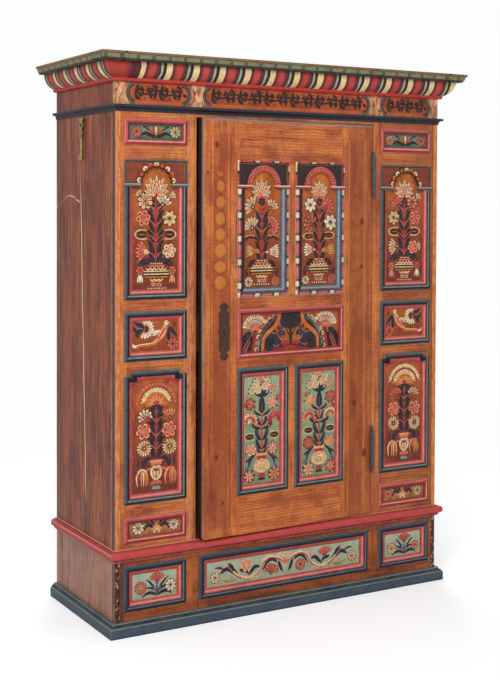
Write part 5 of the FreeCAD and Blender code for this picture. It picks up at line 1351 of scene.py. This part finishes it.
def bird_panel(side, plume, body):
    def at(across, z):
        return side * (513 - across), z

    def aim(angle):
        return angle if side < 0 else 180 - angle

    def line(pot, points, half, tier=1, kind="leaf"):
        curve(pot, [at(*point) for point in points], half, tier, kind)

    for points in (((52, 1010), (62, 996), (72, 984), (84, 972)),
            ((50, 1004), (50, 990), (50, 968), (49, 970))):
        line("navy", points, 6.4)
    line("pink", ((42, 1012), (52, 1014), (64, 1006)), 1.2, 2, "thin")
    ring("maroon", *at(64, 1014), 3, 3, 15, 3.2, aim(20), 80)
    rosette(*at(65, 950), 19, "pink", "red", "black")
    aster_x, aster_z = at(-36, 1003)
    ring("chalk", aster_x, aster_z, 11, 8, 33, 4, aim(-6), 215, shape="drop")
    ring("brown", aster_x, aster_z, 6, 2, 16, 3.4, aim(0), 160, 2)
    line("navy", ((-40, 1004), (-52, 1014), (-66, 1020), (-78, 1028)), 7, 2)
    line("navy", ((-44, 1000), (-58, 996), (-66, 984), (-60, 974)), 8)
    line("navy", ((-80, 1012), (-72, 1000), (-64, 986)), 5.6)
    line("pink", ((-46, 1004), (-58, 1006), (-70, 1004)), 1.2, 3, "thin")
    # the bird: tail, body, neck and head
    for shift, pot in ((5, "red"), (0, plume), (-5, "orange")):
        line(pot, ((22, 975 + shift), (0, 957 + shift), (-26, 952 + shift * 0.8), (-52, 950 + shift * 0.5),
            (-76, 946 + shift)), 3.4, 1, "even")
    for fan in range(6):
        stroke(plume, *at(-66 - fan * 2.5, 950 - fan), aim(180 + 38 - fan * 22), 15, 2.6, 2)
    line(body, ((42, 1020), (36, 1004), (28, 988), (12, 968), (-8, 958)), 10.5, 2)
    line("red", ((34, 1002), (26, 990), (14, 974), (2, 964)), 3.6, 3)
    for shift in range(3):
        line(plume, ((24 - shift * 3, 992 + shift * 2), (8, 984 + shift * 5), (-12, 980 + shift * 7)), 3.2,
            3 + shift)
        line("red", ((22 - shift * 3, 990 + shift * 2), (6, 981 + shift * 5), (-10, 977 + shift * 7)), 1.2, 4)
    dot(plume, *at(42, 1021), 8.2, sides=12)
    bead_row("brown", [at(40 - step * 4.6, 1010 - step * 8.4) for step in range(6)], 1.8, 4)
    bead_row("chalk", [at(34 - step * 4.4, 1012 - step * 8.6) for step in range(6)], 1.9, 4)
    bead_row("brown", [at(6 - step * 11, 955 - step * 1.2) for step in range(7)], 1.8, 4)
    stroke("ochre", *at(48, 1022), aim(-12), 11, 2.6, 4, "point")
    dot("black", *at(44, 1023), 1.7, 5)
    for foot in (10, 20):
        stroke("red", *at(foot, 966), aim(-80), 20, 1.2, 2, "line")
        ring("red", *at(foot + 2, 946), 3, 0, 7, 0.9, aim(-70), 90, 2)


bird_panel(-1, "chalk", "peach")
finish_painting("left_bird")
bird_panel(1, "cream", "peach")
finish_painting("right_bird")


# ---------------- sprigs of the small field panels
# The narrow panels, thin spruce boards too, have one bud with long dark leaves on both sides and
# a bloom at each end, laid wet over the dry ground with a round brush.

def sprig_above(x, *blooms):
    for way in (1, -1):
        sided(way, x, ("black", ((3, 1633), (20, 1641), (38, 1647), (58, 1638)), 6.4),
            ("navy", ((8, 1640), (22, 1655), (34, 1665), (52, 1669)), 5.4),
            ("orange", ((10, 1645), (26, 1653), (40, 1657)), 2.2, 2),
            ("pink", ((12, 1652), (24, 1661), (38, 1668)), 1.3, 3))
        stroke("red", x, 1636, 90 - way * 15, 34, 5.2, 2, "drop")
    stroke("cream", x, 1637, 90, 34, 5.6, 3, "drop")
    stroke("pink", x, 1637, 90, 15, 3.2, 4)
    ring("black", x, 1636, 3, 0, 11, 3.2, spread=120, tier=2)
    for bloom_row in blooms:
        rosette(*bloom_row)


def sprig_below(x, *blooms):
    for way in (1, -1):
        sided(way, x, ("navy", ((10, 338), (22, 350), (36, 350), (47, 332)), 6.6),
            ("navy", ((8, 346), (14, 358), (24, 368)), 4.2), ("maroon", ((26, 355), (36, 362), (48, 364)), 3),
            ("red", ((8, 342), (20, 358), (36, 360)), 1.4, 2))
        stroke("orange", x + way * 30, 336, 90 - way * 50, 16, 4, 0)
    ring("peach", x, 329, 5, 0, 22, 4.4, spread=120, tier=2, shape="drop")
    ring("cream", x, 326, 4, 0, 13, 4, spread=160, tier=3, shape="drop")
    dot("red", x, 329, 3.6, 4)
    for bloom_row in blooms:
        rosette(*bloom_row)


sprig_above(-511, (-581, 1651, 18, "pink", "red", "maroon", 10), (-440, 1652, 19, "cream", "ochre", "brown"))
sprig_below(-506, (-574, 346, 21, "chalk", "cream", "brown"), (-442, 345, 18, "chalk", "pink", "black", 9))
finish_painting("left_sprigs")
sprig_above(514, (443, 1652, 18, "peach", "red", "maroon"), (587, 1652, 18, "pink", "red", "brown"))
sprig_below(512, (447, 345, 17, "pink", "peach", "brown", 9), (583, 345, 20, "cream", "orange", "brown"))
finish_painting("right_sprigs")


# ---------------- flowers of the base panels
# Nosegays stand on grey green at the sides, and a long vine of pale and red ribbons runs across
# the middle board. The strokes are opaque casein colour, like all the flowers.

def nosegay(x, *blooms):
    both(x, ("navy", ((0, 114), (20, 124), (38, 124), (56, 113)), 5.6),
        ("navy", ((4, 128), (16, 138), (30, 143), (40, 141)), 4),
        ("navy", ((6, 134), (18, 150), (30, 164), (42, 172)), 3.8),
        ("slate", ((0, 120), (10, 138), (12, 154)), 3.4),
        ("maroon", ((0, 118), (22, 132), (48, 140)), 1.3, 0, "thin"))
    stroke("slate", x, 112, 90, 46, 4.4, 2)
    stroke("maroon", x, 116, 90, 30, 2.2, 3)
    fan_bloom(x, 156, 36, 90, "pink", "red", 5, 96, "navy")
    for bloom_row in blooms:
        rosette(*bloom_row)


nosegay(-504, (-564, 146, 21, "pink", "red", "chalk", 10), (-454, 142, 20, "chalk", "cream", "maroon"))
finish_painting("left_nosegay")
nosegay(522, (465, 139, 19, "cream", "peach", "red"), (571, 140, 16, "pink", "peach", "red"))
finish_painting("right_nosegay")

for way in (1, -1):
    ribbon = [(way * 4, 158), (way * 28, 172), (way * 62, 181), (way * 92, 166), (way * 112, 136),
        (way * 148, 120), (way * 188, 130), (way * 214, 150)]
    for shift, pot, half in ((0, "pink", 5.4), (-3.6, "red", 1.7), (3.2, "cream", 2.6)):
        curve(pot, [(x, z + shift) for x, z in ribbon], half, 1 if not shift else 2, "even")
    for x in range(34, 96, 10):
        dot("chalk", way * x, 184 - abs(62 - x) * 0.22, 3)
    for x in range(120, 186, 11):
        dot("cream", way * x, 118 + abs(150 - x) * 0.14, 3.4)
    for points, half in ((((34, 158), (52, 172), (72, 168), (96, 138)), 7),
            (((30, 164), (22, 142), (12, 122)), 6), (((104, 152), (124, 156), (140, 142), (150, 130)), 7),
            (((150, 134), (164, 148), (180, 150), (186, 156)), 6.2),
            (((190, 130), (212, 152), (236, 164), (266, 148)), 10), (((208, 154), (220, 172), (236, 182)), 5),
            (((246, 160), (264, 170), (286, 172)), 4)):
        sided(way, 0, ("navy", points, half, 0))
    sided(way, 0, ("maroon", ((150, 128), (156, 144), (164, 156)), 1.6, 1, "thin"),
        ("pink", ((214, 150), (236, 170), (270, 162)), 1.6, 1, "thin"),
        ("ochre", ((196, 122), (230, 118), (262, 130)), 3.4, 0))
    rosette(way * 284, 139, 18, "chalk" if way < 0 else "cream", "peach", "maroon")
rosette(62, 138, 20, "pink", "red", "maroon", 9)
fan_bloom(-62, 122, 36, 78, "pink", "red", 6, 130, "navy")
rose(-160, 166, 23, "peach", "pink", "chalk")
fan_bloom(165, 152, 36, 90, "pink", "red", 6, 100, "navy")
for x, z in ((-10, 172), (10, 172), (0, 184), (-22, 181), (22, 181)):
    dot("cream", x, z, 7, 2)
    dot("red", x, z, 3)
ring("pink", 0, 150, 5, 0, 20, 4, spread=120, tier=2, shape="drop")
finish_painting("middle_vine")


# ---------------- flowers of the upper door panels
# The two arched door panels repeat the flowering tree in a richer hand: a lotus, lilies and
# carnations, long toothed leaves, striped tulips and a banded vase between two rosettes.

def toothed_leaf(x, z, way):
    """A long dark leaf with a row of pale dots along its upper edge."""
    points = [(x, z - 16), (x + way * 20, z + 2), (x + way * 44, z + 5), (x + way * 66, z - 8)]
    curve("black", points, 6)
    bead_row("cream", [(x + way * (24 + step * 7), z + 11 - abs(step - 2) * 1.6) for step in range(6)], 2.3,
        2)
    curve("maroon", [(a, b - 5) for a, b in points], 1.8, 2)


def door_tree(x, leaf_heights, blooms):
    leafy_stem(x, 1214, 1416, leaf_heights, 42, 6, ((1240, 30, 16), (1316, 34, 22), (1366, 34, 30)))
    leaf_pairs("maroon", x, (1374, 1388), 26, 2.6, 62, -30, 1)
    ring("navy", x, 1424, 7, 2, 17, 4.8)
    ring("pink", x, 1440, 5, 2, 22, 4.2, spread=200, shape="drop")
    for way in (1, -1):
        for far, drop, half in ((46, 26, 5.4), (62, 44, 5.4), (36, 12, 4)):
            sided(way, x, ("black", ((14, 1214), (far * 0.7, 1222 - drop * 0.1), (far, 1218 - drop),
                (far - 2, 1204 - drop * 1.2)), half, 0))
        sided(way, x, ("brown", ((62, 1196), (66, 1178), (58, 1166)), 4.6, 0))
        ring("orange", x + way * 52, 1192, 4, 2, 9, 2.4, 45, shape="drop")
    plant(x, blooms)


door_tree(-118, (1216, 1246, 1292, 1326, 1352), ((lotus, -2, 1448, 58),
    (fan_bloom, -34, 1404, 40, 148, "cream", "pink", 6, 130),
    (fan_bloom, 34, 1398, 36, 58, "cream", "red", 5, 90),
    (fan_bloom, -38, 1330, 42, 118, "cream", "pink", 7, 120, "navy"),
    (fan_bloom, 28, 1338, 44, 22, "pink", "red", 8, 130, "navy"), (toothed_leaf, -8, 1298, -1),
    (toothed_leaf, 8, 1298, 1), (fan_bloom, -14, 1254, 56, 178, "ochre", "cream", 6, 44, "orange"),
    (fan_bloom, 16, 1250, 58, 4, "chalk", "red", 6, 44, "red"), (banded_vase, 0, 1180, 90),
    (rosette, -54, 1149, 17, "cream", "pink", "black"), (rosette, 56, 1150, 17, "pink", "maroon", "pink", 9)))
finish_painting("upper_left_door_flowers", "door")
door_tree(128, (1216, 1246, 1280, 1316, 1350, 1376),
    ((lotus, -1, 1450, 54), (rosette, -40, 1414, 27, "chalk", "cream", "brown", 7),
    (fan_bloom, 24, 1404, 40, 34, "pink", "red", 6, 120, "red"), (rose, 20, 1412, 15, "pink", "red", "pink"),
    (fan_bloom, -34, 1344, 36, 150, "pink", "maroon", 7, 190, "navy"),
    (rosette, 48, 1352, 29, "chalk", "cream", "black", 7), (seed_bud, -48, 1303, 44, 22, -1),
    (seed_bud, 42, 1306, 46, 22, 1), (fan_bloom, -18, 1256, 50, 180, "chalk", "red", 5, 50, "red"),
    (fan_bloom, 14, 1254, 58, 0, "ochre", "peach", 6, 50, "orange"), (banded_vase, -2, 1180, 86),
    (rosette, -60, 1149, 15, "chalk", "pink", "black"), (rosette, 55, 1151, 18, "pink", "maroon", "pink", 9)))
finish_painting("upper_right_door_flowers", "door")


# ---------------- ribs of the door arches
# The door's pine arch bands are gouged across into a row of soft ribs. The ribs are pale red;
# here they are strokes on the band, the dark line between each two is painted shade in the hollow,
# and a pale line runs round the band.

springing, band_middle, rib_pitch = 1480, 50, 10.4
for name, middle in (("left", -115), ("right", 126)):
    for step in range(17):
        # pink ribs, and maroon lines that are painted shade in the hollows between them
        for shift, pot, half in ((0, "pink", 2.6), (4.6, "maroon", 1.1)):
            turn = 4 + rib_pitch * step + shift
            aside = math.radians(turn)
            stroke(pot, middle + band_middle * math.cos(aside), springing + band_middle * math.sin(aside),
                turn - 14, 15, half)
    arc_stroke("pink", middle, springing, 66.6, 2, 178, 0.9, 2, count=30)
    finish_painting(name + "_door_arch_ribs", "door", door_arch_face)


# ---------------- hunting scene of the middle door panel
# A dark tree stands on a red mound between two crouching beasts. Painted bands arch over them,
# with pale fans in the upper corners and dark wedges in the lower ones.

stem = 5
for x, z, r in ((-20, 1006, 20), (30, 1006, 20), (-18, 1022, 21), (28, 1022, 21), (5, 1014, 27),
        (5, 1002, 24), (-30, 1016, 13), (40, 1016, 13)):
    dot("black", x, z, r, 1, 14)
for step in range(14):
    dot("navy", stem + 40 * math.cos(step * 0.449), 1010 + 24 * math.sin(step * 0.449), 7, 1, 8)
stroke("black", stem, 926, 90, 72, 5.4, 2, "line")
both(stem, ("black", ((0, 956), (14, 970), (22, 990)), 3.6, 2, "thin"),
    ("orange", ((22, 940), (16, 960), (26, 984)), 1.8))
along([(-100, 907), (-66, 914), (-30, 921), (5, 924), (40, 921), (76, 914), (110, 907)],
    [0, 7, 12, 14, 12, 7, 0], "red", 1)
along([(-70, 912), (-30, 922), (5, 926), (40, 922), (80, 912)], [0, 3, 4, 3, 0], "maroon", 2)
for way in (1, -1):
    # a beast: body, haunch, neck, head, ears, legs and tail
    body = [(stem + way * x, z) for x, z in ((112, 934), (98, 944), (78, 948), (56, 946), (36, 938))]
    along(body, [0, 27, 26, 21, 0], "navy", 2)
    dot("navy", stem + way * 92, 932, 25, 2, 14)
    dot("black", stem + way * 84, 938, 17, sides=12)
    for points, half in ((((66, 946), (54, 960), (44, 972)), 14), (((50, 968), (36, 968), (22, 960)), 9.5),
            (((46, 976), (52, 988), (60, 994)), 4.6), (((38, 976), (40, 986), (38, 992)), 3.6),
            (((60, 936), (44, 924), (28, 918)), 8), (((72, 934), (60, 920), (50, 914)), 7),
            (((100, 924), (86, 914), (70, 912)), 8)):
        sided(way, stem, ("navy", points, half, 2))
    sided(way, stem, ("black", ((62, 968), (78, 980), (92, 976)), 6.5),
        ("orange", ((106, 952), (84, 972), (62, 966), (54, 980)), 1.7, 3),
        ("pink", ((76, 930), (60, 922), (44, 930)), 1.3, 3),
        ("pink", ((22, 950), (34, 942), (48, 952), (54, 970)), 1.6, 3))
    dot("cream", stem + way * 38, 968, 1.6, 4)
for pot, points, half, tier, *kind in (("orange",
        ((118, 906), (116, 944), (104, 966), (78, 984), (56, 1004), (46, 1036)), 6.4, 3),
        ("black", ((132, 906), (130, 942), (116, 974), (92, 1002), (60, 1030)), 11, 1),
        ("black", ((106, 980), (90, 994), (64, 1010)), 9, 1, "leaf"),
        ("teal", ((138, 906), (134, 944), (120, 976), (98, 1004), (68, 1028)), 2.6, 2),
        ("slate", ((133, 906), (129, 942), (115, 972), (93, 998), (62, 1022)), 2.2, 2),
        ("red", ((158, 908), (154, 944), (138, 984), (112, 1018), (92, 1036)), 2.6, 1),
        ("black", ((166, 908), (160, 948), (144, 988), (118, 1024)), 2.8, 0)):
    both(stem, (pot, points, half, tier, *(kind or ["even"])))
for way in (1, -1):
    for step, (x, z) in enumerate(((144, 916), (142, 938), (136, 958), (127, 976), (116, 992), (103, 1006),
            (89, 1018), (74, 1029))):
        turn = math.degrees(math.atan2(z - 900, x)) if way > 0 else 180 - math.degrees(math.atan2(z - 900, x))
        dot("black", stem + way * x, z, 10.4, 2)
        dot("orange" if step % 2 else "red", stem + way * x, z, 5.6, sides=8)
        arc_stroke(("cream", "pink", "chalk")[step % 3], stem + way * x, z, 6.2, turn - 125, turn + 105, 2.3,
            4, count=8)
    # fans in the upper corners
    fan_x, fan_z = stem + way * 150, 984
    for step in range(15):
        turn = (38 + step * 9.2) if way < 0 else (142 - step * 9.2)
        ring("cream" if step % 2 else "chalk", fan_x, fan_z, 1, 16, 54, 3.6, turn, tier=2, shape="drop")
        ring("maroon", fan_x, fan_z, 1, 14, 50, 1, turn + 4.6, tier=3, shape="line")
    ring("pink", fan_x, fan_z, 8, 0, 20, 3.8, spread=190, tier=3, shape="drop")
    arc_stroke("red", fan_x, fan_z, 36, 30, 165, 1.3, 4)
    # wedges in the lower corners
    for points, pot, half in ((((212, 912), (196, 938), (180, 964), (164, 978)), "navy", 17),
            (((176, 906), (174, 934), (162, 964)), "black", 10),
            (((200, 916), (184, 940), (168, 964)), "orange", 1.8),
            (((188, 908), (180, 928), (168, 950)), "pink", 1.6),
            (((210, 930), (200, 950), (188, 966)), "black", 5)):
        sided(way, stem, (pot, points, half, 1 if half > 4 else 3))
finish_painting("middle_door_scene", "door")


# ---------------- flowers of the lower door panels
# On grey green: roses fanned over a dark cup, curls, buds and roses in pairs, and a
# pot-bellied vase between two more carnations.

def carnation(x, z, r, outer, inner, light):
    """Seven wide petals with five narrow ones over them."""
    bloom(x, z, 7, r * 0.2, r, r * 0.25, "maroon", outer, light, 90 + r * 7)
    bloom(x, z, 5, r * 0.05, r * 0.55, r * 0.14, inner, light, start=40 + r * 9, tier=2)
    dot(inner, x, z, r * 0.14)


def curl(x, z, r, way, outer, light):
    """A large bloom curling down like a crest."""
    arc_stroke("maroon", x, z, r * 0.8, 90 - way * 112, 90 + way * 132, r * 0.34, 0)
    arc_stroke(outer, x, z, r * 0.8, 90 - way * 110, 90 + way * 130, r * 0.24)
    bead_row(light, arc_points(x, z, r * 1.02, 90 - way * 100, 90 + way * 120, 9), r * 0.13, 2)
    arc_stroke("red", x, z, r * 0.66, 90 - way * 90, 90 + way * 110, r * 0.07, 3)
    ring(light, x, z, 3, 0, r * 0.42, r * 0.11, 90 - way * 60, 80, 2)


def door_bouquet(x, blooms, vase_mark):
    stroke("red", x, 552, 90, 142, 2.6, 3, "line")
    for z, low, wide, rise, half in ((553, 0, 17, 26, 5.4), (570, 1, 20, 38, 7.6), (600, 1, 22, 44, 8.4),
            (640, 2, 38, 20, 6.4), (652, 1, 17, 32, 6.8), (686, 2, 30, 22, 5)):
        both(x, ("navy" if low == 1 else "black",
            ((2, z), (wide * 0.6, z + rise * 0.3), (wide, z + rise * 0.75), (wide * 0.92, z + rise)), half,
            low), ("pink", ((0, z + 4), (wide * 0.5, z + rise * 0.5), (wide * 1.1, z + rise * 0.8)), 1, 3,
            "thin"))
    along([(x, 756), (x, 744), (x, 722), (x, 702), (x, 692)], [6, 9, 13, 12, 0], "navy", 1)
    stroke("red", x, 698, 90, 34, 1.2, 3, "line")
    ring("navy", x, 752, 5, 0, 29, 6.2, spread=140)
    crown = ((-40, 776), (41, 779), (-22, 799), (23, 801), (0, 819), (-16, 776), (12, 788))
    for across, z in crown:
        curve("black", [(x, 748), (x + across * 0.7, (z + 748) / 2), (x + across * 1.02, z)], 2, 0)
        ring("black", x + across, z, 7, 12, 20, 2.6, 60, tier=0)
    for number, (across, z) in enumerate(crown):
        fill, edge = (("cream", "red"), ("peach", "red"), ("cream", "orange"))[number % 3]
        rose(x + across, z, 15.5, fill, edge, "chalk")
    plant(x, blooms)
    for way in (1, -1):
        sided(way, x, ("black", ((22, 556), (38, 548), (50, 530), (56, 512)), 5.2, 0),
            ("navy", ((30, 548), (52, 538), (70, 528)), 4.4, 0),
            ("slate", ((48, 520), (60, 508), (72, 500)), 4.4, 0))
        ring("black", x + way * 50, 480, 7, 12, 26, 3.6, 60, tier=0)
        ring("black", x + way * 44, 570, 6, 14, 25, 2.8, 80, tier=0)
        ring("black", x + way * 46, 728, 6, 14, 25, 2.8, 80, tier=0)
    # the vase
    bar("peach", x - 26, x + 26, 551, 3.8, 2)
    bar("cream", x - 22, x + 22, 554, 1.6, 3)
    along([(x, 554), (x, 548), (x, 536), (x, 530)], [0, 21, 17, 0], "red", 1)
    along([(x, 537), (x, 530), (x, 516), (x, 502), (x, 492), (x, 488)], [0, 24, 34, 30, 16, 0], "cream", 2)
    arc_stroke("pink", x, 512, 29, 20, 160, 2, 3, 0.62)
    both(x, ("peach", ((4, 494), (20, 504), (22, 520), (8, 528)), 3, 3),
        ("orange", ((2, 498), (12, 508), (10, 520)), 1.4, 3))
    dot("cream", x, 511, 5.6, 4)
    ring(vase_mark, x, 511, 6, 4, 10, 1.8, tier=4)
    along([(x, 490), (x, 484), (x, 476), (x, 470)], [0, 12, 16, 0], "red", 1)
    bar("navy", x - 15, x + 15, 467, 4.4)


door_bouquet(-115, ((carnation, -50, 728, 21, "red", "maroon", "pink"),
    (rose, 42, 730, 20, "peach", "pink", "chalk"), (fan_bloom, 58, 738, 20, 40, "pink", "red", 4, 60),
    (curl, -48, 666, 28, -1, "peach", "cream"), (carnation, -62, 684, 16, "peach", "red", "chalk"),
    (curl, 54, 664, 28, 1, "red", "pink"), (carnation, 56, 688, 15, "pink", "red", "pink"),
    (seed_bud, -52, 616, 44, 25, -1), (seed_bud, 54, 616, 44, 25, 1),
    (rose, -44, 570, 21, "peach", "pink", "chalk"), (carnation, 46, 570, 22, "pink", "red", "cream"),
    (carnation, -52, 480, 21, "pink", "red", "cream"), (carnation, 52, 480, 22, "peach", "red", "pink")),
    "pink")
finish_painting("lower_left_door_flowers", "door")
door_bouquet(131, ((rose, -40, 722, 21, "peach", "pink"),
    (fan_bloom, -52, 738, 18, 130, "pink", "red", 4, 60), (carnation, 50, 730, 21, "red", "maroon", "pink"),
    (fan_bloom, 56, 706, 20, -60, "orange", "red", 4, 80), (curl, -44, 660, 27, -1, "pink", "peach"),
    (curl, 48, 662, 28, 1, "cream", "peach"), (seed_bud, -48, 616, 44, 25, -1),
    (seed_bud, 50, 616, 44, 25, 1), (carnation, -46, 572, 23, "red", "maroon", "pink"),
    (rose, 46, 570, 20, "peach", "orange"), (carnation, -46, 478, 22, "cream", "peach", "pink"),
    (carnation, 50, 482, 20, "pink", "red", "peach")), "maroon")
finish_painting("lower_right_door_flowers", "door")


# ---------------- frieze
# The frieze board is marbled in cream and red, with three long orange cartouches between grey
# brackets. Dark running scrolls with leaves and berries fill the cartouches.

frieze_paint = new_paint("frieze_paint")
spot = board_place()
split = axes(spot)
wave = scaled(cloud(spot, 0.03, detail=2), 0.02, split["X"])
marble = step_up(cloud(spot, 0.016, 0.7, (1, 1, 1.6), 5), 0.44, 0.58)
veins = step_up(cloud(spot, 0.03, 0.7, (0.5, 1, 1.5)), 0.5, 0.6)
blotted = over("c98d66", "8f4634", marble)
blotted = over(blotted, "dfc496", veins, 0.6)
ground = over("ad5430", "8a4029", step_up(cloud(spot, 0.06, 0.6), 0.38, 0.66))
ground = layers(ground,
    ("be6a38", between(split["Z"], 1.741, 1.752, 0.001), 0.6),
    ("5a2c22", between(split["Z"], 1.7525, 1.754, 0.0006), 0.6))
inside = None
for low, high in ((-0.612, -0.393), (-0.33, 0.34), (0.404, 0.616)):
    part = between(split["X"], low, high, 0.002)
    inside = part if inside is None else most(inside, part)
brush_on(over(blotted, ground, inside), 0.5, spot, lying=True, edge=(0.003, 0.4), dust=0.2)
dress(frieze_paint, "frieze_front")


def scroll(x, z, r, way, rise):
    """A tendril that rolls up into a spiral, with a berry at its heart."""
    points = []
    for step in range(13):
        turn = math.radians(90 * rise - way * rise * step * 42)
        size = r * (1 - step / 15)
        points.append((x + size * math.cos(turn), z + size * math.sin(turn)))
    curve("black", points, 5.2, 2, "thin")
    dot("black", x, z, r * 0.2, 2)


spine_z = 1780
for low, high, count in ((-592, -413, 4), (-310, 320, 12), (424, 596, 4)):
    pitch = (high - low) / count
    spine = [(low + pitch * step * 0.5,
        spine_z + (6 if step % 2 else -6) * (1 if (step // 2) % 2 else -1)) for step in range(2 * count + 1)]
    curve("black", spine, 3.2, kind="even")
    for step in range(count):
        middle, rise = low + pitch * (step + 0.5), 1 if step % 2 else -1
        scroll(middle - pitch * 0.06, spine_z + rise * 5, 18, 1 if step % 2 else -1, rise)
        for shift, angle, length in ((-0.36, 66, 27), (0.3, 122, 25), (0.44, 40, 20)):
            stroke("black", middle + shift * pitch, spine_z - rise, -rise * angle, length, 5.6, 2, bend=20)
        bead_row("black", [(middle + pitch * 0.36, spine_z + rise * 19),
            (middle - pitch * 0.4, spine_z + rise * 18)], 3.2, 2)
for x, way in ((-604, 1), (-401, -1), (-322, 1), (332, -1), (412, 1), (608, -1)):
    arc_stroke("iron", x + way * 16, 1776, 29, 90, 90 + way * 180, 5.6, 3, 1.08)
    arc_stroke("black", x + way * 17, 1776, 24.6, 96, 84 + way * 180, 1.8, 4, 1.08)
finish_painting("frieze_scrolls", "case", frieze_face)
